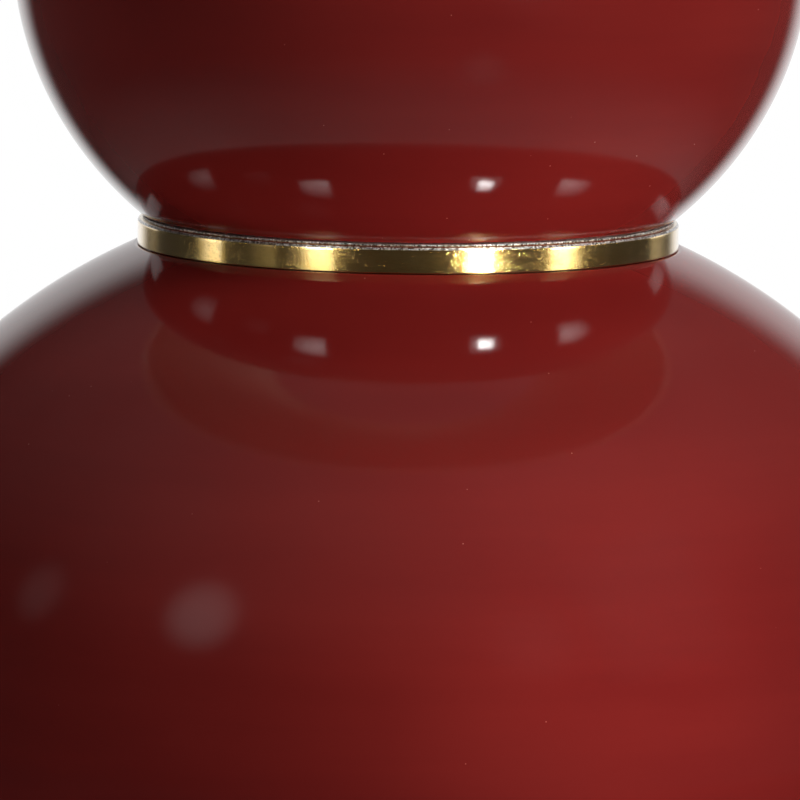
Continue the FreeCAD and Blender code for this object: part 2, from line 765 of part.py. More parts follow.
def swivel_stud():
    """Rivet head, shank, pad and threaded stud in one turned piece, free to turn in the harp's plate."""
    head_top = plate_bottom - SEAT_GAP
    stud_top = pad_top + STUD_LENGTH
    return turned_outline(
        [
            (0, head_top - SWIVEL_HEAD_THICKNESS),
            (swivel_head_radius, head_top - SWIVEL_HEAD_THICKNESS, EASED_EDGE),
            (swivel_head_radius, head_top),
            (SWIVEL_SHANK_RADIUS, head_top),
            (SWIVEL_SHANK_RADIUS, pad_bottom),
            (swivel_pad_radius, pad_bottom, BROKEN_EDGE),
            (swivel_pad_radius, pad_top, BROKEN_EDGE),
            (STUD_RADIUS, pad_top),
            (STUD_RADIUS, stud_top - STUD_CHAMFER),
            (STUD_RADIUS - STUD_CHAMFER, stud_top),
            (0, stud_top),
        ]
    )


def finial():
    """A turned ball on a waisted stem, with a blind hole for the stud."""
    bore_top = pad_top + STUD_LENGTH + FINIAL_BORE_END
    base_top = finial_bottom + FINIAL_BASE_HEIGHT
    stem_top = base_top + FINIAL_STEM_HEIGHT
    ball_entry = math.sqrt(FINIAL_BALL_RADIUS**2 - finial_stem_radius**2)
    ball_centre = stem_top + ball_entry
    tip_entry = math.sqrt(FINIAL_BALL_RADIUS**2 - FINIAL_TIP_RADIUS**2)
    tip_level = ball_centre + tip_entry
    stem = rounded_path(
        [
            (finial_bore, finial_bottom),
            (finial_base_radius, finial_bottom, BROKEN_EDGE),
            (finial_base_radius, base_top, EASED_EDGE),
            (finial_stem_radius, base_top, EASED_EDGE),
            (finial_stem_radius, stem_top),
        ]
    )
    ball = arc(
        place(finial_stem_radius, stem_top),
        place(FINIAL_BALL_RADIUS, ball_centre),
        place(FINIAL_TIP_RADIUS, tip_level),
    )
    top = tip_level + FINIAL_TIP_HEIGHT
    rest = rounded_path(
        [
            (FINIAL_TIP_RADIUS, tip_level),
            (FINIAL_TIP_RADIUS, top, FINIAL_TIP_RADIUS),
            (0, top),
            (0, bore_top),
            (finial_bore, bore_top),
            (finial_bore, finial_bottom),
        ]
    )
    return turned([*stem, ball, *rest])


# Socket


def socket_cap():
    """The cup that screws on the pipe and takes the shell."""
    outer = shell_radius + SOCKET_FIT + SOCKET_SHEET
    inner = shell_radius + SOCKET_FIT
    knee = socket_bottom + SOCKET_HUB_HEIGHT
    flare = socket_bottom + SOCKET_FLARE_TOP
    top = socket_bottom + SOCKET_CAP_HEIGHT
    return turned_outline(
        [
            (PIPE_RADIUS, socket_bottom),
            (socket_hub_radius, socket_bottom, BROKEN_EDGE),
            (socket_hub_radius, knee, EASED_EDGE),
            (outer, flare, SOCKET_FLARE_ROUND + SOCKET_SHEET),
            (outer, top),
            (inner, top),
            (inner, flare + SOCKET_SHEET / 2, SOCKET_FLARE_ROUND),
            (socket_hub_radius - SOCKET_SHEET, knee + SOCKET_SHEET, EASED_EDGE),
            (PIPE_RADIUS, knee + SOCKET_SHEET),
        ]
    ).cut(set_screw_hole())


def set_screw_hole():
    level = socket_bottom + SOCKET_HUB_HEIGHT / 2
    return rod(SET_SCREW_RADIUS, Vector(0, PIPE_RADIUS - SOCKET_SHEET, level), 2 * socket_hub_radius, BACK)


def socket_set_screw():
    level = socket_bottom + SOCKET_HUB_HEIGHT / 2
    screw = rod(SET_SCREW_RADIUS, Vector(0, PIPE_RADIUS, level), SET_SCREW_LENGTH, BACK)
    end = PIPE_RADIUS + SET_SCREW_LENGTH
    slot = block(SLOT_WIDTH, 2 * SLOT_DEPTH, level - SET_SCREW_RADIUS, level + SET_SCREW_RADIUS, y=end)
    return screw.cut(slot)


def switch_hole(radius):
    """A hole through the socket's front wall, about the switch's axis."""
    return rod(radius, Vector(0, -housing_radius / 2, switch_level), 2 * shell_radius, FRONT)


def socket_shell():
    rim_low = shell_top - SOCKET_RIM_HEIGHT
    shell = turned_outline(
        [
            (shell_bore, socket_bottom + SOCKET_SHELL_START),
            (shell_radius, socket_bottom + SOCKET_SHELL_START),
            (shell_radius, rim_low - SOCKET_RIM_HEIGHT, EASED_EDGE),
            (socket_rim_radius, rim_low, EASED_EDGE),
            (socket_rim_radius, shell_top),
            (socket_rim_radius - SOCKET_SHEET, shell_top),
            (socket_rim_radius - SOCKET_SHEET, rim_low, EASED_EDGE),
            (shell_bore, rim_low - SOCKET_RIM_HEIGHT, EASED_EDGE),
        ]
    )
    return shell.cut(switch_hole(collar_hole))


def socket_liner():
    bottom = socket_bottom + SOCKET_SHELL_START
    return tube(liner_outer, liner_bore, bottom, bulb_cap_top).cut(switch_hole(collar_hole))


def switch_housing():
    """The moulded body with the contacts: a flat on each side for a terminal, and a hole for the stem."""
    housing = rod(housing_radius, place(0, housing_bottom), HOUSING_HEIGHT, AXIS)
    flat_top = housing_bottom + TERMINAL_FLAT_HEIGHT
    for side in (-1, 1):
        flat_centre = side * (terminal_face + housing_radius / 2)
        flat = block(housing_radius, 2 * housing_radius, housing_bottom, flat_top, x=flat_centre)
        housing = housing.cut(flat)
    stem_end = -housing_radius + STEM_SEAT
    hole = rod(STEM_RADIUS + RUNNING_CLEARANCE, Vector(0, stem_end, switch_level), 2 * housing_radius, FRONT)
    return housing.cut(hole)


def terminal_screws():
    """Two slotted screw heads, one for each wire."""
    level = housing_bottom + TERMINAL_HEIGHT
    heads = []
    for side in (-1, 1):
        direction = Vector(side, 0, 0)
        head = rod(TERMINAL_RADIUS, Vector(side * terminal_face, 0, level), TERMINAL_THICKNESS, direction)
        face = side * (terminal_face + TERMINAL_THICKNESS)
        slot = block(2 * SLOT_DEPTH, SLOT_WIDTH, level - TERMINAL_RADIUS, level + TERMINAL_RADIUS, x=face)
        heads.append(head.cut(slot))
    return Part.makeCompound(heads)


def thread_wave(radius):
    """Rolled thread seen from the side: arcs that bulge out and in by turns."""
    edges = []
    half = THREAD_PITCH / 2
    for i in range(2 * THREAD_TURNS):
        start = bulb_cap_bottom + i * half
        bulge = THREAD_DEPTH if i % 2 == 0 else -THREAD_DEPTH
        edges.append(
            arc(place(radius, start), place(radius + bulge, start + half / 2), place(radius, start + half))
        )
    return edges


def screw_shell():
    """The socket's threaded sleeve: smooth outside, with the bulb's rolled thread inside."""
    outside = rounded_path(
        [
            (screw_shell_bore, bulb_cap_top),
            (screw_shell_radius, bulb_cap_top),
            (screw_shell_radius, housing_top),
            (screw_shell_bore, housing_top),
            (screw_shell_bore, bulb_cap_bottom),
        ]
    )
    return turned([*thread_wave(screw_shell_bore), *outside])


def centre_contact():
    """A spring tab, folded back on itself under the bulb's tip."""
    fold = housing_top + CONTACT_SHEET
    base = block(CONTACT_LENGTH, CONTACT_WIDTH, housing_top, fold)
    leaf = block(CONTACT_LEAF_LENGTH, CONTACT_LEAF_WIDTH, fold, fold + CONTACT_SHEET)
    return base.fuse(leaf).removeSplitter()


# Bulb


def bulb_tip():
    top = bulb_tip_bottom + TIP_HEIGHT
    return turned_outline(
        [(0, bulb_tip_bottom), (TIP_RADIUS, bulb_tip_bottom, EASED_EDGE), (TIP_RADIUS, top), (0, top)]
    )


def bulb_insulator():
    bottom = bulb_tip_bottom + TIP_HEIGHT
    return turned_outline(
        [
            (0, bottom),
            (INSULATOR_FOOT_RADIUS, bottom),
            (THREAD_RADIUS - BULB_CAP_WALL, bulb_cap_bottom),
            (0, bulb_cap_bottom),
        ]
    )


def bulb_screw_cap():
    bore = THREAD_RADIUS - THREAD_DEPTH - BULB_CAP_WALL
    return turned(
        [
            *thread_wave(THREAD_RADIUS),
            *rounded_path(
                [
                    (THREAD_RADIUS, bulb_cap_top),
                    (bore, bulb_cap_top),
                    (bore, bulb_cap_bottom),
                    (THREAD_RADIUS, bulb_cap_bottom),
                ]
            ),
        ]
    )


def bulb_collar():
    """The collar between the screw cap and the globe."""
    waist = bulb_cap_top + COLLAR_WAIST_HEIGHT
    return turned_outline(
        [
            (collar_foot_radius - COLLAR_WALL, bulb_cap_top),
            (collar_foot_radius, bulb_cap_top),
            (collar_waist_radius, waist, COLLAR_WAIST_CURVE),
            (COLLAR_TOP_RADIUS, collar_top, BROKEN_EDGE),
            (COLLAR_TOP_RADIUS - COLLAR_WALL, collar_top),
            (collar_waist_radius - COLLAR_WALL, waist, COLLAR_WAIST_CURVE),
        ]
    )


def bulb_globe():
    """A ball that runs down into the collar as a tangent cone, with a thin wall."""

    def half_section(ball, foot):
        # the point where a line from the foot touches the ball
        foot_distance = math.hypot(foot, GLOBE_RISE)
        lean = math.atan2(foot, GLOBE_RISE)
        turn = math.acos(ball / foot_distance)
        angle = -math.pi / 2 + lean + turn
        touch = place(ball * math.cos(angle), globe_centre + ball * math.sin(angle))
        middle_angle = (angle + math.pi / 2) / 2
        middle = place(ball * math.cos(middle_angle), globe_centre + ball * math.sin(middle_angle))
        top = place(0, globe_centre + ball)
        return line(place(foot, collar_top), touch), arc(touch, middle, top), top

    foot = COLLAR_TOP_RADIUS - GLOBE_WALL
    cone, ball, top = half_section(GLOBE_RADIUS, foot)
    inner_foot = foot - GLOBE_WALL
    inner_cone, inner_ball, inner_top = half_section(GLOBE_RADIUS - GLOBE_WALL, inner_foot)
    return turned(
        [
            cone,
            ball,
            line(top, inner_top),
            inner_ball,
            inner_cone,
            line(place(inner_foot, collar_top), place(foot, collar_top)),
        ]
    )


# Switch


def stem_collar():
    """The bushing that the stem turns in, from the housing out through the shell."""
    start = math.sqrt(housing_radius**2 - stem_collar_radius**2)
    length = shell_radius + STEM_COLLAR_HEIGHT - start
    collar = rod(stem_collar_radius, Vector(0, -start, switch_level), length, FRONT)
    collar = collar.cut(rod(housing_radius, place(0, housing_bottom), HOUSING_HEIGHT, AXIS))
    return collar.cut(switch_hole(STEM_RADIUS + RUNNING_CLEARANCE))


def switch_stem():
    start = -housing_radius + STEM_SEAT - SEAT_GAP
    length = knob_face + KNOB_BORE_DEPTH + start
    return rod(STEM_RADIUS, Vector(0, start, switch_level), length, FRONT)


def switch_knob():
    """A fluted knob with a domed end, on the stem."""
    body = rod(KNOB_RADIUS, Vector(0, -knob_face, switch_level), KNOB_LENGTH, FRONT)
    knob_end = -knob_face - KNOB_LENGTH
    body = body.makeFillet(KNOB_END_ROUND, [e for e in body.Edges if abs(e.BoundBox.YMax - knob_end) < 1e-3])
    for i in range(KNOB_FLUTES):
        angle = 2 * math.pi * i / KNOB_FLUTES
        x = KNOB_RADIUS * math.cos(angle)
        z = switch_level + KNOB_RADIUS * math.sin(angle)
        body = body.cut(rod(KNOB_FLUTE_RADIUS, Vector(x, -knob_face - KNOB_SKIRT, z), KNOB_LENGTH, FRONT))
    return body.cut(rod(STEM_RADIUS, Vector(0, -knob_face, switch_level), KNOB_BORE_DEPTH, FRONT))


# Shade


def shade_wall(radius_offset, thickness):
    """A thin cone, offset outwards from the shade's inner surface."""
    inner_top = SHADE_TOP_RADIUS - LINER_SHEET - LINEN_SHEET + radius_offset
    inner_bottom = SHADE_BOTTOM_RADIUS - LINER_SHEET - LINEN_SHEET + radius_offset
    return turned_outline(
        [
            (inner_bottom, shade_bottom),
            (inner_bottom + thickness, shade_bottom),
            (inner_top + thickness, shade_top),
            (inner_top, shade_top),
        ]
    )


def shade_liner():
    return shade_wall(0.0, LINER_SHEET)


def shade_linen():
    return shade_wall(LINER_SHEET, LINEN_SHEET)


def shade_trim(edge_level, edge_radius, inward):
    """Tape folded over an edge of the shade: a band down the outside, and a lip across the edge.

    inward is +1 at the top edge, where the shade lies below, and -1 at the bottom edge."""
    band_level = edge_level - inward * TRIM_HEIGHT
    band_radius = edge_radius + inward * TRIM_HEIGHT * shade_slope
    lip_level = edge_level + inward * TRIM_SHEET
    inner = edge_radius - LINER_SHEET - LINEN_SHEET - SHADE_WIRE_RADIUS
    return turned_outline(
        [
            (band_radius, band_level),
            (band_radius + TRIM_SHEET, band_level),
            (edge_radius + TRIM_SHEET, lip_level, 2 * TRIM_SHEET),
            (inner, lip_level),
            (inner, edge_level),
            (edge_radius, edge_level),
        ]
    )


def shade_trim_top():
    return shade_trim(shade_top, SHADE_TOP_RADIUS, 1)


def shade_trim_bottom():
    return shade_trim(shade_bottom, SHADE_BOTTOM_RADIUS, -1)


def wire_ring(edge_level, edge_radius, inward):
    """Centre radius and level of a wire ring that lies inside an edge of the shade."""
    level = edge_level - inward * (SHADE_WIRE_RADIUS + SHADE_WIRE_INSET)
    wall = edge_radius + (edge_level - level) * shade_slope
    radius = wall - LINER_SHEET - LINEN_SHEET - SHADE_WIRE_RADIUS - 2 * SHADE_WIRE_INSET
    return radius, level


def shade_spider():
    """Top ring, three cranked arms and the hub that drops over the stud."""
    ring_radius, ring_level = wire_ring(shade_top, SHADE_TOP_RADIUS, 1)
    frame = Part.makeTorus(ring_radius, SHADE_WIRE_RADIUS, place(0, ring_level))
    hub_level = (hub_bottom + hub_top) / 2
    arm_start = hub_radius - SHADE_WIRE_RADIUS
    path = Part.Wire(
        rounded_path(
            [
                (arm_start, hub_level),
                (ARM_LEVEL_RUN, hub_level, ARM_BEND),
                (ring_radius - ARM_LEVEL_RUN, ring_level, ARM_BEND),
                (ring_radius, ring_level),
            ]
        )
    )
    section = Part.Wire(Part.makeCircle(SHADE_WIRE_RADIUS, place(arm_start, hub_level), Vector(1, 0, 0)))
    arm = path.makePipeShell([section], True, True)
    frame = frame.fuse(rod(hub_radius, place(0, hub_bottom), HUB_THICKNESS, AXIS))
    for i in range(ARM_COUNT):
        turned_arm = arm.copy()
        turned_arm.rotate(Vector(), AXIS, 90 + i * 360 / ARM_COUNT)
        frame = frame.fuse(turned_arm)
    lift = 2 * SHADE_WIRE_RADIUS
    hole = rod(STUD_RADIUS + HUB_CLEARANCE, place(0, hub_bottom - lift), HUB_THICKNESS + 2 * lift, AXIS)
    return frame.cut(hole)


def shade_bottom_ring():
    ring_radius, ring_level = wire_ring(shade_bottom, SHADE_BOTTOM_RADIUS, -1)
    return Part.makeTorus(ring_radius, SHADE_WIRE_RADIUS, place(0, ring_level))


SUBPARTS = {
    "felt_pad": felt_pad,
    "base_plinth": base_plinth,
    "base_weight": base_weight,
    "bottom_washer": bottom_washer,
    "bottom_locknut": bottom_locknut,
    "inlet_bush": inlet_bush,
    "threaded_pipe": threaded_pipe,
    "foot_gasket": foot_gasket,
    "lower_gourd": lower_gourd,
    "lower_waist_gasket": lower_waist_gasket,
    "waist_ring": waist_ring,
    "waist_disc": waist_disc,
    "ring_washer": ring_washer,
    "upper_waist_gasket": upper_waist_gasket,
    "upper_gourd": upper_gourd,
    "cap_gasket": cap_gasket,
    "gourd_cap": gourd_cap,
    "neck_tube": neck_tube,
    "check_ring": check_ring,
    "harp_saddle": harp_saddle,
    "socket_cap": socket_cap,
    "socket_set_screw": socket_set_screw,
    "socket_shell": socket_shell,
    "socket_liner": socket_liner,
    "switch_housing": switch_housing,
    "terminal_screws": terminal_screws,
    "screw_shell": screw_shell,
    "centre_contact": centre_contact,
    "stem_collar": stem_collar,
    "switch_stem": switch_stem,
    "switch_knob": switch_knob,
    "bulb_tip": bulb_tip,
    "bulb_insulator": bulb_insulator,
    "bulb_screw_cap": bulb_screw_cap,
    "bulb_collar": bulb_collar,
    "bulb_globe": bulb_globe,
    "harp": harp,
    "harp_ferrule_left": lambda: ferrule(-1),
    "harp_ferrule_right": lambda: ferrule(1),
    "swivel_stud": swivel_stud,
    "shade_spider": shade_spider,
    "shade_bottom_ring": shade_bottom_ring,
    "shade_liner": shade_liner,
    "shade_linen": shade_linen,
    "shade_trim_top": shade_trim_top,
    "shade_trim_bottom": shade_trim_bottom,
    "finial": finial,
}


def main():
    os.makedirs("parts", exist_ok=True)
    for name, make in SUBPARTS.items():
        shape = make()
        for solid in shape.Solids:
            assert solid.isValid() and solid.Volume > 0, name
        shape.exportStep(f"parts/{name}.step")
        print(f"{name}: {len(shape.Solids)} solid(s), {shape.Volume / 1000:.2f} cm3")


main()
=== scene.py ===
"""Double gourd table lamp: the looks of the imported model, as an add-on that runs as a script."""

import json
import math

import bpy
import numpy as np
from bpy.props import FloatProperty, FloatVectorProperty, IntProperty, PointerProperty
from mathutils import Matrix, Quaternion, Vector


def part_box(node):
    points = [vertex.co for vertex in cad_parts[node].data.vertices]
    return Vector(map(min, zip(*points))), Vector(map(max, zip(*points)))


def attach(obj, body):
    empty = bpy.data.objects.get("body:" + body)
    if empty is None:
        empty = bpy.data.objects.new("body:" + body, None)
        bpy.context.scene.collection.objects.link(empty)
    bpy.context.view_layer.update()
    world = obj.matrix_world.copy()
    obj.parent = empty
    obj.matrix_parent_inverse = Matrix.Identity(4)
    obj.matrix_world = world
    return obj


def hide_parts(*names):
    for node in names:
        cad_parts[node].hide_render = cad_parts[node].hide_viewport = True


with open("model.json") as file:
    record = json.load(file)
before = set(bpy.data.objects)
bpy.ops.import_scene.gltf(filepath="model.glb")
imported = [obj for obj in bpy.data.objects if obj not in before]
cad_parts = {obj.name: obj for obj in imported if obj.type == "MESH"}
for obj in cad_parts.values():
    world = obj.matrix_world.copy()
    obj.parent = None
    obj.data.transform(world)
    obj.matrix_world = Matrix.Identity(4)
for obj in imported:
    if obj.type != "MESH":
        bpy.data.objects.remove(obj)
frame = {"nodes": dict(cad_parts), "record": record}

bl_info = {
    "name": "Double gourd table lamp",
    "version": (1, 0, 0),
    "blender": (4, 5, 0),
    "location": "View3D > Sidebar > Lamp",
    "description": "Glazed gourds, brass, linen shade and studio for the double gourd lamp",
    "category": "Object",
}

MM = 0.001


def low(node):
    return np.array(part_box(node)[0])


def high(node):
    return np.array(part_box(node)[1])


# Levels and radii, read from the solids
FOOT_LEVEL = low("lower_gourd")[2]
LOWER_RIM = high("lower_gourd")[2]
LOWER_RADIUS = high("lower_gourd")[0]
RING_BOTTOM = low("waist_ring")[2]
RING_TOP = high("waist_ring")[2]
RING_RADIUS = high("waist_ring")[0]
WASHER_TOP = high("ring_washer")[2]
UPPER_RIM = low("upper_gourd")[2]
TOP_RIM = high("upper_gourd")[2]
UPPER_RADIUS = high("upper_gourd")[0]
SHADE_TOP = high("shade_linen")[2]
SHADE_BOTTOM = low("shade_linen")[2]
SHADE_RADIUS = high("shade_linen")[0]
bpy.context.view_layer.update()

# Sizes of the solids that their boxes don't give
LOWER_HALF = 139 * MM
UPPER_HALF = 90 * MM
FOOT_RADIUS = 80 * MM
UPPER_RIM_RADIUS = RING_RADIUS - 1.4 * MM
GOURD_WALL = 6 * MM
TOP_HOLE = 13 * MM
PIPE_HOLE = 5.2 * MM
SHADE_TOP_RADIUS = 178 * MM

SAWN_HEIGHT = 0.5 * MM


def tone(red, green, blue):
    """A colour from a paint chart, 0 to 255, turned into the linear values that shaders take."""
    parts = np.array([red, green, blue]) / 255
    linear = np.where(parts <= 0.04045, parts / 12.92, ((parts + 0.055) / 1.055) ** 2.4)
    return tuple(float(p) for p in linear)


# Surfaces


def arc_points(centre, radius, start, end, count=9):
    """Radius and height pairs centre + radius * (cos, sin), at even steps between two degrees."""
    angle = np.radians(np.linspace(start, end, count))
    return np.c_[centre[0] + radius * np.cos(angle), centre[1] + radius * np.sin(angle)]


def eased(corners, count=7):
    """A profile through corners given as (radius, height, rounding).

    A corner with a rounding becomes an arc that touches both of its runs: its centre lies on the
    bisector, at rounding / sin(half the corner's angle), and its points turn evenly from one
    touching point to the other.
    """
    points = np.array([c[:2] for c in corners], float)
    parts = []
    for i, corner in enumerate(corners):
        rounding = corner[2] if len(corner) > 2 else 0.0
        if not rounding:
            parts.append(points[i : i + 1])
            continue
        back = points[i - 1] - points[i]
        ahead = points[(i + 1) % len(points)] - points[i]
        back = back / np.hypot(*back)
        ahead = ahead / np.hypot(*ahead)
        half = math.acos(float(np.clip(back @ ahead, -1, 1))) / 2
        bisector = (back + ahead) / np.hypot(*(back + ahead))
        centre = points[i] + bisector * rounding / math.sin(half)
        first = points[i] + back * rounding / math.tan(half) - centre
        last = points[i] + ahead * rounding / math.tan(half) - centre
        start = math.atan2(first[1], first[0])
        sweep = math.remainder(math.atan2(last[1], last[0]) - start, 2 * math.pi)
        start, end = math.degrees(start), math.degrees(start + sweep)
        parts.append(arc_points(centre, rounding, start, end, count))
    return np.vstack(parts)


def spaced(profile, step, closed=True):
    """The profile with points added so that no run is longer than step."""
    ends = np.roll(profile, -1, axis=0) if closed else profile[1:]
    starts = profile if closed else profile[:-1]
    counts = np.maximum(1, np.ceil(np.hypot(*(ends - starts).T) / step)).astype(int)
    share = np.concatenate([np.arange(n) / n for n in counts])[:, None]
    starts, ends = np.repeat(starts, counts, axis=0), np.repeat(ends, counts, axis=0)
    filled = starts * (1 - share) + ends * share
    return filled if closed else np.vstack([filled, profile[-1:]])


def piece(name, points, quads, texture=None, triangles=None):
    """A smooth mesh object: points, quads, the texture places of the quads' corners, triangles."""
    mesh = bpy.data.meshes.new(name)
    mesh.vertices.add(len(points))
    mesh.vertices.foreach_set("co", np.ascontiguousarray(points, np.float32).ravel())
    triangles = np.zeros((0, 3), int) if triangles is None else triangles
    corners = np.concatenate([quads.ravel(), triangles.ravel()])
    mesh.loops.add(len(corners))
    mesh.loops.foreach_set("vertex_index", corners.astype(np.int32))
    mesh.polygons.add(len(quads) + len(triangles))
    sides = np.repeat([4, 3], [len(quads), len(triangles)])
    starts = np.cumsum(sides) - sides
    mesh.polygons.foreach_set("loop_start", starts.astype(np.int32))
    if texture is not None:
        layer = mesh.uv_layers.new(name="UVMap")
        places = np.concatenate([texture.reshape(-1, 2), np.zeros((triangles.size, 2))])
        layer.data.foreach_set("uv", places.astype(np.float32).ravel())
    mesh.update(calc_edges=True)
    mesh.validate()
    mesh.shade_smooth()
    made = bpy.data.objects.new(name, mesh)
    bpy.context.scene.collection.objects.link(made)
    return made


def turned(name, profile, around=160, closed=True, ripple=None, aim=None):
    """A surface of revolution: (r cos a, r sin a, z) for each profile point (r, z) and angle a.

    A closed profile makes a ring. An open one starts and ends on the axis, where one point closes
    each pole. ripple(angles, profile) may change the radii, as flutes do, and aim(points) may turn
    the piece to another axis. Texture places are the turn around the axis, 0 to 1, and the length
    along the profile, in metres.
    """
    after = np.roll(profile, -1, axis=0)
    area = np.sum(profile[:, 0] * after[:, 1] - after[:, 0] * profile[:, 1])
    profile = profile if area > 0 else profile[::-1]
    angles = np.linspace(0, 2 * np.pi, around, endpoint=False)
    body = profile if closed else profile[1:-1]
    radii = np.tile(body[:, 0], (around, 1))
    if ripple is not None:
        radii = radii + ripple(angles[:, None], body[None, :])
    levels = np.broadcast_to(body[:, 1], radii.shape)
    cosines, sines = np.cos(angles)[:, None], np.sin(angles)[:, None]
    points = np.stack([radii * cosines, radii * sines, levels], axis=-1)
    rows = len(body)
    runs = rows if closed else rows - 1
    i, j = np.meshgrid(np.arange(around), np.arange(runs), indexing="ij")
    here, ahead, above = i * rows, (i + 1) % around * rows, (j + 1) % rows
    quads = np.stack([here + j, ahead + j, ahead + above, here + above], axis=-1)
    looped = np.vstack([body, body[:1]]) if closed else body
    length = np.concatenate([[0], np.cumsum(np.hypot(*np.diff(looped, axis=0).T))])
    u = np.stack([i, i + 1, i + 1, i], axis=-1) / around
    v = np.stack([length[j], length[j], length[j + 1], length[j + 1]], axis=-1)
    points = points.reshape(-1, 3)
    triangles = None
    if not closed:
        here, ahead = here[:, 0], ahead[:, 0]
        first, last = np.full(around, len(points)), np.full(around, len(points) + 1)
        points = np.vstack([points, [[0, 0, profile[0, 1]], [0, 0, profile[-1, 1]]]])
        foot = np.stack([ahead, here, first], axis=-1)
        crown = np.stack([here + rows - 1, ahead + rows - 1, last], axis=-1)
        triangles = np.vstack([foot, crown])
    points = points if aim is None else aim(points)
    texture = np.stack([u, v], axis=-1).reshape(-1, 2)
    return piece(name, points, quads.reshape(-1, 4), texture, triangles)


# Finishes


class Value:
    """The value of one socket. Arithmetic on it adds Math nodes."""

    def __init__(self, finish, socket):
        self.finish = finish
        self.socket = socket

    def __add__(self, other):
        return self.finish.maths("ADD", self, other)

    def __sub__(self, other):
        return self.finish.maths("SUBTRACT", self, other)

    def __rsub__(self, other):
        return self.finish.maths("SUBTRACT", other, self)

    def __mul__(self, other):
        return self.finish.maths("MULTIPLY", self, other)

    def __pow__(self, other):
        return self.finish.maths("POWER", self, other)

    __radd__ = __add__
    __rmul__ = __mul__

    def wave(self):
        """A sine of it, moved to 0 to 1."""
        return self.finish.maths("SINE", self) * 0.5 + 0.5

    def ramp(self, start, end):
        """0 below start, 1 above end, and a smooth rise between them."""
        return self.finish.node(
            "ShaderNodeMapRange",
            {"interpolation_type": "SMOOTHSTEP"},
            {"Value": self, "From Min": start, "From Max": end},
        )


class Finish:
    """A material with one shader. Every node but that one comes from node()."""

    def __init__(self, name, **constants):
        self.material = bpy.data.materials.new(name)
        self.material.use_nodes = True
        self.tree = self.material.node_tree
        self.tree.nodes.clear()
        self.shader = self.tree.nodes.new("ShaderNodeBsdfPrincipled")
        output = self.tree.nodes.new("ShaderNodeOutputMaterial")
        self.tree.links.new(self.shader.outputs[0], output.inputs[0])
        for key, value in constants.items():
            self.set(key.replace("_", " "), value)

    def set(self, socket, value):
        """Sets an input of the shader, or links a value to it."""
        names = {s.name.lower(): s for s in self.shader.inputs}
        self.fill(names[socket.lower()], value)

    def fill(self, socket, value):
        if isinstance(value, Value):
            self.tree.links.new(value.socket, socket)
        elif socket.type == "RGBA":
            socket.default_value = (*value, 1.0)
        else:
            socket.default_value = value

    def node(self, kind, settings=None, inputs=None, output=0):
        """Adds a node: its settings, then its sockets, listed in order or by name or number."""
        made = self.tree.nodes.new(kind)
        for key, value in (settings or {}).items():
            setattr(made, key, value)
        pairs = inputs.items() if isinstance(inputs, dict) else enumerate(inputs or [])
        for key, value in pairs:
            self.fill(made.inputs[key], value)
        return Value(self, made.outputs[output])

    def maths(self, operation, *values):
        return self.node("ShaderNodeMath", {"operation": operation}, list(values))

    def place(self, scale=(1.0, 1.0, 1.0)):
        """Object coordinates, stretched by a scale along each axis."""
        here = self.node("ShaderNodeTexCoord", output="Object")
        return self.node("ShaderNodeMapping", {}, {"Vector": here, "Scale": scale})

    def noise(self, scale, detail, roughness, stretch=(1.0, 1.0, 1.0), where=None):
        """Soft noise, 0 to 1. scale is how many of its features lie in a metre."""
        where = where or self.place(stretch)
        inputs = {"Vector": where, "Scale": scale, "Detail": detail, "Roughness": roughness}
        return self.node("ShaderNodeTexNoise", {}, inputs)

    def cells(self, scale, output="Distance"):
        """The distance to the nearest of points strewn at random, or that point's own colour."""
        inputs = {"Vector": self.place(), "Scale": scale}
        return self.node("ShaderNodeTexVoronoi", {}, inputs, output)

    def flecks(self, scale, edge, chosen):
        """Spots on some of the points strewn at random, 1 inside and 0 outside.

        A spot fades between the two distances of edge. A point has one if its draw, 0 to 1, is over
        the range chosen.
        """
        near = 1 - self.cells(scale).ramp(*edge)
        return near * self.part(self.cells(scale, "Color"), "X").ramp(*chosen)

    def part(self, vector, axis):
        """One coordinate of a vector."""
        return self.node("ShaderNodeSeparateXYZ", {}, [vector], "XYZ".index(axis))

    def mix(self, share, first, second):
        """first where share is 0, second where it is 1."""
        return self.node("ShaderNodeMix", {"data_type": "RGBA"}, {0: share, 6: first, 7: second}, 2)

    def bump(self, height, distance, strength=1.0):
        """Leans the surface by a height between 0 and 1 that stands for distance metres."""
        inputs = {"Height": height, "Distance": distance, "Strength": strength}
        return self.node("ShaderNodeBump", {}, inputs)

    def rings(self, scale, detail):
        """Noise that runs in rings around the lamp's axis, as marks from a lathe do."""
        here = self.place()
        x, y, z = (self.part(here, axis) for axis in "XYZ")
        radius = (x * x + y * y) ** 0.5
        flat = self.node("ShaderNodeCombineXYZ", {}, [radius, z, x * 0.004])
        return self.noise(scale, detail, 0.6, where=flat)


def glaze(name, look):
    """Deep red glaze: faint level bands and clouds of lighter red, a rippled skin, dust specks."""
    finish = Finish(name, ior=1.5)
    bands = finish.noise(1.0, 4.0, 0.55, (5, 5, 55)).ramp(0.3, 0.7)
    clouds = finish.noise(9.0, 3.0, 0.5).ramp(0.3, 0.7)
    body = finish.mix(bands * 0.45 + clouds * 0.55, look.deep, look.bright)
    dust = finish.flecks(200.0, (0.018, 0.042), (0.7, 0.72))
    finish.set("base color", finish.mix(dust * 0.55, body, tone(205, 150, 135)))
    finish.set("roughness", look.roughness + 0.03 * clouds + 0.25 * dust)
    ripple = finish.noise(210.0, 2.0, 0.5) + 0.2 * finish.noise(1100.0, 2.0, 0.5)
    finish.set("normal", finish.bump(ripple, look.ripple * MM))
    return finish.material


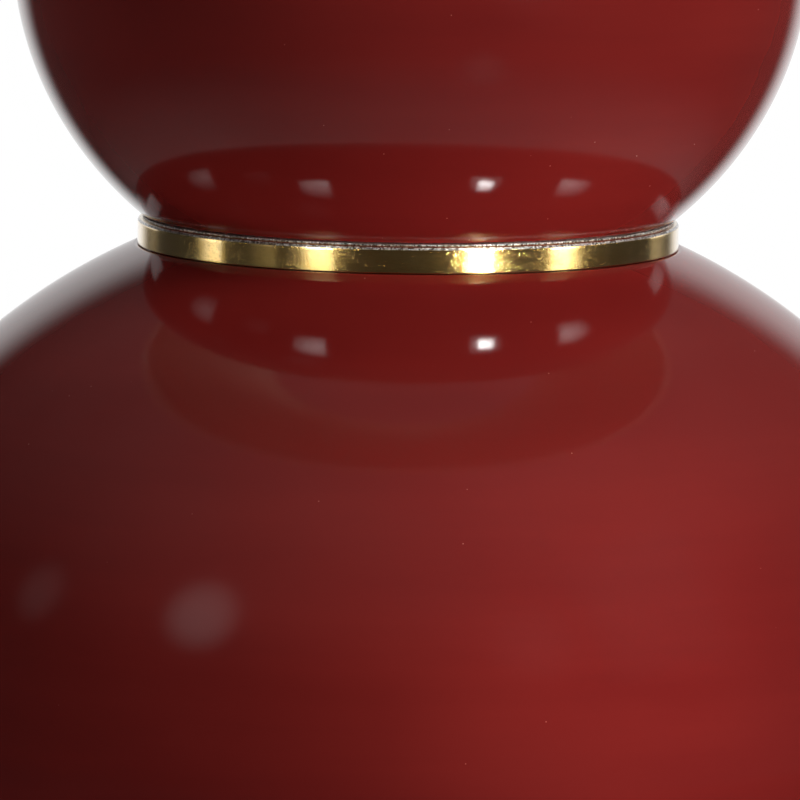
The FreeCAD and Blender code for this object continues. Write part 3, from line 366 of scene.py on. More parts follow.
def filings(finish):
    """The colour of sawn metal's grains, some dull brown and a few near white, and their draw.

    The draw is the number between 0 and 1 that sets how bright a grain is.
    """
    strewn = finish.cells(2700.0, "Color")
    draw, warmth = finish.part(strewn, "X"), finish.part(strewn, "Y")
    dull = finish.mix(warmth, tone(60, 52, 47), tone(110, 96, 86))
    middle = finish.mix(warmth, tone(190, 181, 176), tone(208, 203, 200))
    colour = finish.mix(draw.ramp(0.2, 0.7), dull, middle)
    return finish.mix(draw.ramp(0.84, 0.9), colour, tone(246, 243, 240)), draw


def brass(name, look, gloss, aged, sawn_above=None):
    """Lacquered brass: rings of brush marks, warm and pale patches, minute pits, stains of age.

    gloss is taken off the look's roughness, and aged is how strong the stains are. From the level
    sawn_above to SAWN_HEIGHT over it, the brass gives way to a silvery band of coarse grains.
    """
    finish = Finish(name, metallic=1.0, anisotropic=0.97, anisotropic_rotation=0.25)
    finish.set("coat weight", 1.0)
    finish.set("coat roughness", 0.06)
    fine = finish.rings(2600.0, 3.0)
    patches = finish.noise(110.0, 5.0, 0.65)
    grains = finish.noise(2300.0, 2.0, 0.6)
    colour = finish.mix(patches.ramp(0.2, 0.85), look.warm, look.pale)
    colour = finish.mix(fine.ramp(0.55, 0.8) * 0.2, colour, look.brown)
    pits = finish.flecks(3000.0, (0.15, 0.5), (0.6, 0.68))
    stain = finish.noise(14.0, 5.0, 0.65).ramp(0.5, 0.8) * aged
    colour = finish.mix(pits * 0.3 + stain * 0.5, colour, look.brown)
    roughness = look.roughness - gloss + 0.06 * patches + 0.1 * stain
    marks = fine * 0.3 + grains * 0.4 - pits * 0.9
    if sawn_above is not None:
        level = finish.part(finish.place(), "Z") + (grains - 0.5) * (0.1 * MM)
        sawn_top = sawn_above + SAWN_HEIGHT
        band = level.ramp(sawn_above - 0.05 * MM, sawn_above + 0.05 * MM)
        band = band * (1 - level.ramp(sawn_top, sawn_top + 0.1 * MM))
        silver, coarse = filings(finish)
        colour = finish.mix(band, colour, silver)
        roughness = roughness * (1 - band) + (0.3 + 0.2 * coarse) * band
        marks = marks * (1 - band) + coarse * band * 4.0
        finish.set("metallic", 1 - 0.5 * band)
    finish.set("base color", colour)
    finish.set("roughness", roughness)
    finish.set("normal", finish.bump(marks, 0.014 * MM))
    return finish.material


def sawn(name):
    """A sawn metal face of coarse grains, bright and dull."""
    finish = Finish(name, metallic=0.5)
    colour, grains = filings(finish)
    finish.set("base color", colour)
    finish.set("roughness", 0.3 + 0.2 * grains)
    finish.set("normal", finish.bump(grains, 0.06 * MM))
    return finish.material


def plain(name, light, dark, roughness, metallic, grain, depth, **constants):
    """A plain solid finish: two tones in soft clouds, an uneven gloss and a fine grain.

    The tones are as on a paint chart, grain is how fine its grain is, and depth is its height in
    millimetres.
    """
    finish = Finish(name, metallic=metallic, **constants)
    clouds = finish.noise(grain * 0.2, 4.0, 0.6)
    fine = finish.noise(grain * 8, 3.0, 0.6)
    share = clouds.ramp(0.35, 0.65) * 0.7 + fine * 0.3
    finish.set("base color", finish.mix(share, tone(*dark), tone(*light)))
    finish.set("roughness", roughness + 0.12 * (clouds - 0.5) + 0.06 * (fine - 0.5))
    finish.set("normal", finish.bump(fine, depth * MM))
    return finish.material


def felt(name):
    """Wool felt: short matted fibres that lie every way, lighter and darker, and a soft nap."""
    finish = Finish(name, sheen_weight=0.5, sheen_roughness=0.6, roughness=0.95)
    first = finish.noise(1.0, 3.0, 0.6, (260, 2100, 900))
    second = finish.noise(1.0, 3.0, 0.6, (2100, 260, 900))
    mat = finish.maths("MAXIMUM", first, second)
    finish.set("base color", finish.mix(mat.ramp(0.45, 0.72), tone(66, 55, 50), tone(118, 104, 97)))
    finish.set("normal", finish.bump(mat, 0.2 * MM, 0.8))
    return finish.material


def linen(name, look, rib=0.0):
    """Linen: warp and weft as crossed waves on the cloth's own map, slubs that follow the threads,
    and painted shade darkening the gaps between threads.

    rib turns it into tape, with ribs across its length in place of the weave's open holes.
    """
    finish = Finish(name, sheen_weight=0.25, sheen_roughness=0.5)
    here = finish.node("ShaderNodeTexCoord", output="UV")
    around = round(look.threads * 2 * math.pi * SHADE_RADIUS)
    over = (finish.part(here, "X") * (2 * math.pi * around)).wave()
    under = (finish.part(here, "Y") * (2 * math.pi * look.threads)).wave()
    weave = finish.maths("MAXIMUM", over * under.ramp(0.2, 0.6), under * (1 - over).ramp(0.2, 0.6))
    weave = weave * (1 - rib) + over * rib
    level = finish.node("ShaderNodeMapping", {}, {"Vector": here, "Scale": (28.0, 1500.0, 1.0)})
    upright = finish.node("ShaderNodeMapping", {}, {"Vector": here, "Scale": (1500.0, 22.0, 1.0)})
    slub = finish.noise(1.0, 3.0, 0.55, where=level).ramp(0.52, 0.75)
    thick = finish.noise(1.0, 3.0, 0.55, where=upright).ramp(0.55, 0.8)
    colour = finish.mix(slub * 0.55 + thick * 0.35, look.ground, look.slub)
    # painted shade: the gaps between the threads, or between the tape's ribs, are darkened toward
    # the shadow colour
    colour = finish.mix((1 - weave) * (0.35 + 0.2 * rib), colour, look.shadow)
    clouds = finish.noise(11.0, 3.0, 0.5)
    finish.set("base color", finish.mix(clouds.ramp(0.3, 0.7) * 0.12, colour, look.shadow))
    finish.set("roughness", 0.82 + 0.12 * clouds)
    finish.set("normal", finish.bump(weave * 0.5 + slub * 0.35 + thick * 0.25, 0.18 * MM, 0.8))
    return finish.material


# Light tone, dark tone, roughness, metallic, grain and depth of the plain finishes
PLAIN = {
    "cast_iron": ((74, 72, 70), (44, 42, 41), 0.7, 0.3, 300.0, 0.12),
    "zinc": ((196, 192, 186), (150, 146, 142), 0.36, 1.0, 240.0, 0.02),
    "steel": ((205, 205, 204), (168, 168, 168), 0.28, 1.0, 240.0, 0.01),
    "gasket_rubber": ((38, 36, 35), (24, 22, 22), 0.75, 0.0, 260.0, 0.03),
    "joint_rubber": ((78, 30, 20), (56, 22, 16), 0.7, 0.0, 260.0, 0.03),
    "black_plastic": ((34, 33, 33), (24, 23, 23), 0.32, 0.0, 200.0, 0.01),
    "liner_fibre": ((92, 76, 62), (66, 54, 44), 0.8, 0.0, 340.0, 0.04),
    "bulb_cap_metal": ((222, 222, 223), (196, 196, 198), 0.22, 1.0, 160.0, 0.008),
    "bulb_white": ((238, 237, 233), (226, 225, 220), 0.42, 0.0, 120.0, 0.012),
    "bulb_glass": ((240, 238, 232), (230, 227, 220), 0.3, 0.0, 90.0, 0.006),
    "frame_wire": ((228, 225, 216), (210, 206, 196), 0.4, 0.0, 220.0, 0.015),
    "shade_lining": ((200, 191, 173), (188, 177, 158), 0.72, 0.0, 110.0, 0.03),
}
GLASS = {"coat_weight": 0.6, "coat_roughness": 0.12, "subsurface_weight": 0.15}

# Gloss, stains and the start of the sawn band of the brass finishes
BRASS = {
    "antique_brass": (0.02, 0.5),
    "ring_brass": (0.0, 0.2, RING_TOP - 0.8 * MM),
    "harp_brass": (0.05, 0.2),
    "socket_brass": (0.06, 0.3),
    "screw_brass": (0.04, 0.4),
}


def finish_of(slot):
    """The material of a slot, made the first time that it is asked for."""
    name = slot.replace("_", " ").capitalize()
    scene = bpy.context.scene
    if name in bpy.data.materials:
        return bpy.data.materials[name]
    if slot in PLAIN:
        return plain(name, *PLAIN[slot], **(GLASS if slot == "bulb_glass" else {}))
    if slot in BRASS:
        return brass(name, scene.lamp_brass, *BRASS[slot])
    makers = {
        "red_glaze": lambda: glaze(name, scene.lamp_glaze),
        "sawn_metal": lambda: sawn(name),
        "felt": lambda: felt(name),
        "shade_fabric": lambda: linen(name, scene.lamp_shade),
        "shade_tape": lambda: linen(name, scene.lamp_shade, 1.0),
    }
    return makers[slot]()


# Sizes and colours that a user would change


def colour(name, description, *chart):
    """A colour that a user can change, with its default as on a paint chart."""
    chosen = {"name": name, "description": description, "default": tone(*chart)}
    return FloatVectorProperty(subtype="COLOR", size=3, min=0, max=1, **chosen)


class GlazeLook(bpy.types.PropertyGroup):
    """The glaze on both gourds."""

    deep: colour("Deep red", "Glaze colour where it lies thick", 107, 24, 22)
    bright: colour("Bright red", "Glaze colour where it lies thin", 123, 32, 28)
    roughness: FloatProperty(
        name="Roughness", description="How dull the glaze is", default=0.065, min=0, max=1
    )
    ripple: FloatProperty(
        name="Ripple", description="Height of the ripples in the glaze, in millimetres",
        default=0.006, min=0, precision=4,
    )


class BrassLook(bpy.types.PropertyGroup):
    """The brass of the ring, the plinth and the fittings."""

    warm: colour("Warm gold", "Main colour of the brass", 218, 180, 100)
    pale: colour("Pale gold", "Paler patches of the brass", 233, 202, 134)
    brown: colour("Brown", "Brush marks and stains of age", 120, 82, 34)
    roughness: FloatProperty(
        name="Roughness", description="How dull the brass is", default=0.2, min=0, max=1
    )


class ShadeLook(bpy.types.PropertyGroup):
    """The linen of the shade."""

    ground: colour("Ground", "Colour of the linen", 229, 220, 201)
    slub: colour("Slub", "Colour of the thick threads", 206, 193, 168)
    # painted shade in the gaps between the threads, and also the tone of the linen's darker clouds
    shadow: colour("Between threads", "Colour between the threads", 176, 162, 136)
    threads: FloatProperty(
        name="Threads", description="Threads in a metre", default=1150.0, min=100
    )


class StudioLook(bpy.types.PropertyGroup):
    """Camera and lamps."""

    distance: FloatProperty(
        name="Camera distance", description="From the lamp's axis to the camera",
        subtype="DISTANCE", default=2.2, min=0.5,
    )
    elevation: FloatProperty(
        name="Camera elevation", description="How far the camera looks down",
        subtype="ANGLE", default=math.radians(7.1),
    )
    roll: FloatProperty(
        name="Camera roll", description="How far the camera leans",
        subtype="ANGLE", default=math.radians(0.7),
    )
    width: FloatProperty(
        name="View width", description="Width that the picture shows at the lamp's axis",
        subtype="DISTANCE", default=0.2, min=0.05,
    )
    aim: FloatVectorProperty(
        name="Aim", description="The point in the middle of the picture",
        subtype="TRANSLATION", size=3, default=(-0.0015, 0.0, 0.2303),
    )
    brightness: FloatProperty(
        name="Brightness", description="Scale of all the lamps", default=1.0, min=0
    )
    around: IntProperty(
        name="Steps around", description="Steps around the gourds", default=352, min=32, max=384
    )


# Helpers for the pieces


def settle(made, body, slot, *nodes, finish=None):
    """Puts a piece on its body, with its slot's finish or another, in place of the nodes."""
    made.data.materials.append(finish_of(finish or slot))
    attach(made, body)
    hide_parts(*nodes)
    return made


def dress(*nodes):
    """Gives solids that keep their shape the finish of their own slot."""
    slots = {part["node"]: part["material_slot"] for part in frame["record"]["subparts"]}
    for node in nodes:
        shown = frame["nodes"][node]
        for place in shown.material_slots:
            place.material = finish_of(slots[node])


def centre_above(level, radius, full, half):
    """The widest level of an ellipse with those half axes that passes the radius at level."""
    return level + half * math.sqrt(1 - (radius / full) ** 2)


def gourd_profile(full, half, centre, foot, rim, foot_round, rim_round, inner_rim):
    """A gourd's outside and inside, ellipses (full cos t, centre + half sin t), with eased rims.

    A rim's arc has its centre one rounding inside the ellipse and one rounding from the flat rim.
    Halving finds the angle t where that holds. The rim stays flat for a short step behind the arc.
    The inside stops at inner_rim, and an upright hole goes on from there.
    """
    outside_count, inside_count, flat_step = 200, 42, 0.4 * MM

    def eased_edge(level, rounding):
        up = 1 if level > centre else -1
        near, far = 0.0, math.asin(abs(level - centre) / half)
        for _ in range(50):
            t = (near + far) / 2
            out = np.array([math.cos(t) / full, up * math.sin(t) / half])
            out /= np.hypot(*out)
            on_side = np.array([full * math.cos(t), centre + up * half * math.sin(t)])
            middle = on_side - out * rounding
            near, far = (t, far) if up * (level - middle[1]) > rounding else (near, t)
        start = math.degrees(math.atan2(out[1], out[0]))
        edge = arc_points(middle, rounding, start, 90 * up, 10)
        return up * t, np.vstack([edge, edge[-1:] - [[flat_step, 0]]])

    foot_angle, foot_edge = eased_edge(foot, foot_round)
    rim_angle, rim_edge = eased_edge(rim, rim_round)
    t = np.linspace(foot_angle, rim_angle, outside_count)[1:-1]
    outside = np.c_[full * np.cos(t), centre + half * np.sin(t)]
    full_in, half_in = full - GOURD_WALL, half - GOURD_WALL
    top, bottom = (math.asin((level - centre) / half_in) for level in (inner_rim, foot))
    t = np.linspace(top, bottom, inside_count)
    inside = np.c_[full_in * np.cos(t), centre + half_in * np.sin(t)]
    hole = [[inside[0, 0], rim]] if inner_rim < rim else np.zeros((0, 2))
    return np.vstack([foot_edge[::-1], outside, rim_edge, hole, inside])


# Pieces


class LAMP_OT_gourds(bpy.types.Operator):
    """Makes both gourds: turned shells with eased rims, in red glaze"""

    bl_idname = "lamp.gourds"
    bl_label = "Gourds"

    def execute(self, context):
        around = context.scene.lamp_studio.around
        centre = centre_above(FOOT_LEVEL, FOOT_RADIUS, LOWER_RADIUS, LOWER_HALF)
        profile = gourd_profile(
            LOWER_RADIUS, LOWER_HALF, centre, FOOT_LEVEL, LOWER_RIM,
            foot_round=1.5 * MM, rim_round=1.2 * MM, inner_rim=LOWER_RIM,
        )
        gourd = turned("glazed_lower_gourd", profile, around)
        settle(gourd, "lamp_body", "red_glaze", "lower_gourd")
        centre = centre_above(UPPER_RIM, UPPER_RIM_RADIUS, UPPER_RADIUS, UPPER_HALF)
        share = math.sqrt(1 - (TOP_HOLE / (UPPER_RADIUS - GOURD_WALL)) ** 2)
        hole_level = centre + (UPPER_HALF - GOURD_WALL) * share
        profile = gourd_profile(
            UPPER_RADIUS, UPPER_HALF, centre, UPPER_RIM, TOP_RIM,
            foot_round=2.2 * MM, rim_round=1.0 * MM, inner_rim=hole_level,
        )
        gourd = turned("glazed_upper_gourd", profile, around)
        settle(gourd, "lamp_body", "red_glaze", "upper_gourd")
        return {"FINISHED"}


class LAMP_OT_waist(bpy.types.Operator):
    """Makes the brass ring between the gourds and its washer, and finishes the gaskets"""

    bl_idname = "lamp.waist"
    bl_label = "Waist ring"

    def execute(self, context):
        bore = RING_RADIUS - 9.5 * MM
        sharp, rounded = 0.15 * MM, 1.2 * MM
        ring = [
            (bore, RING_BOTTOM),
            (RING_RADIUS, RING_BOTTOM, sharp),
            (RING_RADIUS, RING_TOP, rounded),
            (bore, RING_TOP),
        ]
        band = turned("brass_waist_ring", spaced(eased(ring, 9), 0.4 * MM), 720)
        settle(band, "lamp_body", "antique_brass", "waist_ring", finish="ring_brass")
        outer = high("ring_washer")[0]
        corner = (outer, WASHER_TOP, 0.12 * MM)
        washer = [(bore, RING_TOP), (outer, RING_TOP), corner, (bore, WASHER_TOP)]

        def chatter(angles, profile):
            # the blade's marks: three waves in the outer millimetre
            edge = np.clip((profile[..., 0] - (outer - 1 * MM)) / MM, 0, 1)
            waves = np.sin(37 * angles) + np.sin(91 * angles + 1.3) + np.sin(211 * angles + 0.4)
            return -0.02 * MM * edge * (1 + waves / 3)

        strip = turned("sawn_ring_washer", spaced(eased(washer, 4), 0.4 * MM), 900, ripple=chatter)
        settle(strip, "lamp_body", "zinc", "ring_washer", finish="sawn_metal")
        dress("lower_waist_gasket", "upper_waist_gasket", "waist_disc")
        for place in frame["nodes"]["lower_waist_gasket"].material_slots:
            place.material = finish_of("joint_rubber")
        return {"FINISHED"}


class LAMP_OT_foot(bpy.types.Operator):
    """Makes the felt under the plinth and finishes the plinth, its weight, nut, pipe and bush"""

    bl_idname = "lamp.foot"
    bl_label = "Foot"

    def execute(self, context):
        radius = high("felt_pad")[0]
        top = high("felt_pad")[2]
        disc = eased([(0, 0), (radius, 0, 0.5 * MM), (radius, top, 0.5 * MM), (0, top)], 5)

        def fray(angles, profile):
            # the cut edge wavers in the outer millimetre
            edge = np.clip((profile[..., 0] - (radius - 1 * MM)) / MM, 0, 1)
            return -0.06 * MM * edge * (1 + np.sin(61 * angles) * np.sin(23 * angles + 2))

        pad = turned("felt_disc", spaced(disc, 4 * MM, False), 240, closed=False, ripple=fray)
        settle(pad, "lamp_body", "felt", "felt_pad")
        dress("base_plinth", "base_weight", "bottom_washer", "bottom_locknut", "inlet_bush")
        dress("threaded_pipe", "foot_gasket")
        return {"FINISHED"}


class LAMP_OT_neck(bpy.types.Operator):
    """Makes the cap on the upper gourd, the turned neck and check ring, and finishes the saddle"""

    bl_idname = "lamp.neck"
    bl_label = "Cap and neck"

    def execute(self, context):
        crisp, soft, sweep = 0.4 * MM, 0.8 * MM, 3.5 * MM
        foot, top = low("gourd_cap")[2], high("gourd_cap")[2]
        rim, rim_top, slope_top = high("gourd_cap")[0], foot + 3 * MM, foot + 4.5 * MM
        hub = high("neck_tube")[0] + 1 * MM
        cap = [
            (PIPE_HOLE, foot),
            (rim, foot, crisp),
            (rim, rim_top, soft),
            (hub, slope_top, sweep),
            (hub, top, soft),
            (PIPE_HOLE, top),
        ]
        cap = turned("brass_gourd_cap", spaced(eased(cap, 12), 0.8 * MM), 240)
        settle(cap, "lamp_body", "antique_brass", "gourd_cap")
        foot, top = low("neck_tube")[2], high("neck_tube")[2]
        collar, collar_top = high("neck_tube")[0], foot + 2.6 * MM
        tube, middle = collar - 3 * MM, (foot + top) / 2
        bead_radius, bead_foot = 2.5 * MM, middle - 2.6 * MM
        lower = [
            (PIPE_HOLE, foot),
            (collar, foot, crisp),
            (collar, collar_top, soft),
            (tube, collar_top, soft),
            (tube, bead_foot),
        ]
        lower = eased(lower)
        bead = arc_points((tube, middle), bead_radius, -90, 90, 17)
        upper = (lower * [1, -1] + [0, foot + top])[::-1]
        neck = turned("turned_neck", spaced(np.vstack([lower, bead, upper]), 0.8 * MM), 200)
        settle(neck, "lamp_body", "antique_brass", "neck_tube")
        foot, top = low("check_ring")[2], high("check_ring")[2]
        edge = high("check_ring")[0]
        check = eased([(PIPE_HOLE, foot), (edge, foot, soft), (edge, top, soft), (PIPE_HOLE, top)])
        check = turned("brass_check_ring", spaced(check, 0.6 * MM), 200)
        settle(check, "lamp_body", "antique_brass", "check_ring")
        dress("cap_gasket", "harp_saddle")
        return {"FINISHED"}


class LAMP_OT_socket(bpy.types.Operator):
    """Makes the fluted switch knob and finishes the socket's shell, cap, body and screws"""

    bl_idname = "lamp.socket"
    bl_label = "Socket and switch"

    def execute(self, context):
        start, end = high("switch_knob")[1], low("switch_knob")[1]
        level = (low("switch_knob")[2] + high("switch_knob")[2]) / 2
        length, radius = start - end, 7 * MM
        bore, bore_depth = high("switch_stem")[0], 9 * MM
        count, cutter, core, collar, run_out = 14, 0.9 * MM, 6 * MM, 2 * MM, 0.5 * MM
        profile = [
            (0, bore_depth),
            (bore, bore_depth),
            (bore, 0),
            (radius, 0, 0.5 * MM),
            (radius, length, 1.2 * MM),
            (0, length),
        ]
        profile = spaced(eased(profile, 8), 0.5 * MM, False)

        def flutes(angles, profile):
            # each flute is the arc of a cutter centred on the knob's rim, past a plain collar
            share = np.mod(angles * count / (2 * np.pi) + 0.5, 1) - 0.5
            around = share * 2 * np.pi / count * radius
            depth = np.sqrt(np.clip(cutter**2 - around**2, 0, None))
            cut = np.clip((profile[..., 1] - collar) / run_out, 0, 1)
            return -depth * cut * (profile[..., 0] > core)

        def forward(points):
            return np.c_[points[:, 0], start - points[:, 2], level + points[:, 1]]

        knob = turned("fluted_knob", profile, 336, False, flutes, forward)
        settle(knob, "switch_key", "black_plastic", "switch_knob")
        dress("socket_cap", "socket_set_screw", "socket_shell", "socket_liner", "switch_housing")
        dress("switch_stem", "terminal_screws", "screw_shell", "centre_contact", "stem_collar")
        return {"FINISHED"}


class LAMP_OT_bulb(bpy.types.Operator):
    """Makes the bulb's globe and finishes its collar, screw cap, insulator and tip"""

    bl_idname = "lamp.bulb"
    bl_label = "Bulb"

    def execute(self, context):
        foot, top = low("bulb_globe")[2], high("bulb_globe")[2]
        radius, wall, foot_radius = 30 * MM, 1.2 * MM, 19.8 * MM
        centre = top - radius

        def side(ball, foot_radius):
            # the ball down to where a line from the foot touches it, then that line
            lean = math.atan2(foot_radius, centre - foot)
            touch = lean + math.acos(ball / math.hypot(foot_radius, centre - foot)) - math.pi / 2
            ball_part = arc_points((0, centre), ball, 90, math.degrees(touch), 48)
            return np.vstack([ball_part, [[foot_radius, foot]]])

        inner = side(radius - wall, foot_radius - wall)
        outer = side(radius, foot_radius)[::-1]
        profile = spaced(np.vstack([inner, outer]), 1.5 * MM, False)
        profile[0, 0] = profile[-1, 0] = 0
        globe = turned("opal_globe", profile, 160, closed=False)
        settle(globe, "bulb", "bulb_glass", "bulb_globe")
        dress("bulb_tip", "bulb_insulator", "bulb_screw_cap", "bulb_collar")
        return {"FINISHED"}


class LAMP_OT_harp(bpy.types.Operator):
    """Finishes the harp, its ferrules and the swivel stud"""

    bl_idname = "lamp.harp"
    bl_label = "Harp"

    def execute(self, context):
        dress("harp", "harp_ferrule_left", "harp_ferrule_right", "swivel_stud")
        return {"FINISHED"}


class LAMP_OT_shade(bpy.types.Operator):
    """Makes the linen, its seam and its edge tapes, and finishes the lining and the wires"""

    bl_idname = "lamp.shade"
    bl_label = "Shade"

    def execute(self, context):
        cloth, doubled, half_lap, lap_edge = 0.6 * MM, 0.35 * MM, 6 * MM, 0.8 * MM
        slope = (SHADE_RADIUS - SHADE_TOP_RADIUS) / (SHADE_TOP - SHADE_BOTTOM)
        wall = [
            (SHADE_RADIUS - cloth, SHADE_BOTTOM),
            (SHADE_RADIUS, SHADE_BOTTOM),
            (SHADE_TOP_RADIUS, SHADE_TOP),
            (SHADE_TOP_RADIUS - cloth, SHADE_TOP),
        ]

        def lap(angles, profile):
            # the cloth is doubled at the back, with a soft edge on each side
            surface = SHADE_RADIUS - slope * (profile[..., 1] - SHADE_BOTTOM)
            outside = profile[..., 0] > surface - cloth / 2
            away = np.abs(angles - np.pi / 2) * SHADE_RADIUS
            return outside * doubled * (1 - np.clip((away - half_lap) / lap_edge, 0, 1))

        wall = spaced(np.array(wall), 12 * MM)
        linen_piece = turned("stretched_linen", wall, 1080, ripple=lap)
        settle(linen_piece, "shade", "shade_fabric", "shade_linen")
        tapes = [
            self.tape("top_tape", SHADE_TOP, SHADE_TOP_RADIUS, 1, slope, "shade_trim_top"),
            self.tape("bottom_tape", SHADE_BOTTOM, SHADE_RADIUS, -1, slope, "shade_trim_bottom"),
        ]
        dress("shade_liner", "shade_spider", "shade_bottom_ring")
        return {"FINISHED"}

    def tape(self, name, edge, radius, up, slope, node):
        """Tape folded over an edge: a band outside, a rounded fold, a lip over the wall's edge."""
        thick, band, reach = 0.5 * MM, 9 * MM, 3.1 * MM
        crisp, fold = 0.2 * MM, 0.9 * MM
        lip, hem, inside = edge + up * thick, edge - up * band, radius - reach
        profile = [
            (radius + up * band * slope, hem),
            (radius + up * band * slope + thick, hem, crisp),
            (radius + thick, lip, fold),
            (inside, lip, crisp),
            (inside, edge),
            (radius, edge),
        ]

        def gathers(angles, profile):
            # the folded edge draws in a little, unevenly, where the glue holds it
            outer = profile[..., 0] > radius + (edge - profile[..., 1]) * slope + thick / 2
            return -0.08 * MM * outer * (1 + np.sin(47 * angles) * np.sin(31 * angles + 1))

        made = turned(name, spaced(eased(profile, 5), 1.5 * MM), 720, ripple=gathers)
        return settle(made, "shade", "shade_tape", node)


class LAMP_OT_finial(bpy.types.Operator):
    """Makes the turned ball finial"""

    bl_idname = "lamp.finial"
    bl_label = "Finial"

    def execute(self, context):
        foot, top = low("finial")[2], high("finial")[2]
        ball, stem, base, tip = 9.5 * MM, 4.8 * MM, 7.5 * MM, 2.2 * MM
        tip_level = top - 2 * MM
        centre = tip_level - math.sqrt(ball**2 - tip**2)
        bore, bore_top, base_top = 3.25 * MM, foot + 15 * MM, foot + 3 * MM
        lower = [
            (0, bore_top),
            (bore, bore_top),
            (bore, foot),
            (base, foot, 0.4 * MM),
            (base, base_top, 0.8 * MM),
            (stem, base_top, 0.8 * MM),
            (stem, centre - math.sqrt(ball**2 - stem**2)),
        ]
        start, end = -math.degrees(math.acos(stem / ball)), math.degrees(math.acos(tip / ball))
        round_part = arc_points((0, centre), ball, start, end, 48)[1:-1]
        upper = eased([(tip, tip_level), (tip, top, 1.2 * MM), (0, top)], 8)
        profile = spaced(np.vstack([eased(lower), round_part, upper]), 0.6 * MM, False)
        made = turned("turned_finial", profile, 160, closed=False)
        settle(made, "finial", "antique_brass", "finial")
        return {"FINISHED"}


# Studio

# Where the white behind the lamp ends in gloss and where it is full: cosines from straight behind
WHITE_EDGE = math.cos(math.radians(38))
WHITE_FULL = math.cos(math.radians(21))

# Soft glows of the room in gloss: azimuth, elevation and radius in degrees, and strength
GLOWS = ((-44.7, 34.6, 9.5, 0.75), (-83.5, 28, 7, 0.2), (27.5, 32, 11, 0.1))

# Lamps that only show in gloss: azimuth, elevation, distance, width and height, radiance, spread
GLOSS_LAMPS = {
    "left_end_catch": (-139, 3, 0.7, (0.27, 0.13), 1.4, 36),
    "left_edge_catch": (-89, 2, 0.7, (0.17, 0.26), 5.5, 24),
    "left_fill_catch": (-59, 3, 0.45, (0.09, 0.09), 1.0, 26),
    "left_catch": (-35.5, 14, 0.38, (0.078, 0.12), 36, 26),
    "right_key": (28.5, 8, 0.38, (0.035, 0.05), 650, 26),
    "right_key_wide": (28.5, 8, 0.38, (0.075, 0.1), 25, 26),
    "right_catch": (67, 8, 0.38, (0.12, 0.12), 32, 25),
    "right_edge_catch": (131, 3, 0.7, (0.26, 0.13), 2.4, 36),
}

# The same of the lamps that only light matt surfaces
MATT_LAMPS = {
    "right_soft": (54, 31, 1.8, (0.8, 0.8), 14, 180),
    "waist_soft": (22, -28, 0.5, (0.08, 0.08), 86, 24),
    "back_left_soft": (-145, 25, 1.8, (0.8, 0.8), 6.5, 180),
    "back_right_soft": (150, 25, 1.8, (0.8, 0.8), 6, 180),
}


class Sky(Finish):
    """The world around the studio, with the same ways to add nodes."""

    def __init__(self, name):
        self.world = bpy.data.worlds.new(name)
        self.world.use_nodes = True
        self.tree = self.world.node_tree
        self.tree.nodes.clear()
        self.shader = self.tree.nodes.new("ShaderNodeBackground")
        output = self.tree.nodes.new("ShaderNodeOutputWorld")
        self.tree.links.new(self.shader.outputs[0], output.inputs[0])


def looked_at(finish):
    """Whether a ray comes from gloss, and whether it comes from the camera or through glass."""
    glossy, camera, through = (
        finish.node("ShaderNodeLightPath", output=f"Is {kind} Ray")
        for kind in ("Glossy", "Camera", "Transmission")
    )
    return glossy, finish.maths("MAXIMUM", camera, through)


def toward(azimuth, elevation):
    """The direction at those angles, in degrees: azimuth 0 is the camera's side, 90 its right."""
    a, e = math.radians(azimuth), math.radians(elevation)
    return Vector((math.sin(a) * math.cos(e), -math.cos(a) * math.cos(e), math.sin(e)))


def studio_sky():
    """White to the camera. In gloss, white straight behind the lamp, and a dim room elsewhere.

    The room grows paler overhead and to the right, and has a few soft glows. Matt surfaces gather a
    dim, even light from it.
    """
    sky = Sky("Studio sky")
    glossy, seen = looked_at(sky)
    way = sky.node("ShaderNodeTexCoord", output="Generated")

    def cosine(azimuth, elevation):
        aim = tuple(toward(azimuth, elevation))
        return sky.node("ShaderNodeVectorMath", {"operation": "DOT_PRODUCT"}, [way, aim], "Value")

    height = sky.part(way, "Z")
    back = cosine(180, 0).ramp(WHITE_EDGE, WHITE_FULL)
    room = 0.04 + 0.2 * height.ramp(0.35, 1.0) + 0.05 * sky.part(way, "X").ramp(-0.2, 0.8)
    for azimuth, elevation, radius, strength in GLOWS:
        edge = math.cos(math.radians(radius))
        room = room + strength * cosine(azimuth, elevation).ramp(edge, 1.0) ** 1.8
    room = room * (0.65 + 0.7 * sky.noise(2.6, 4.0, 0.6, where=way))
    gloss = room * (1 - back) + back
    soft = 0.045 + 0.035 * height.ramp(-0.5, 0.8)
    sky.set("strength", seen + (1 - seen) * (gloss * glossy + soft * (1 - glossy)))
    return sky.world


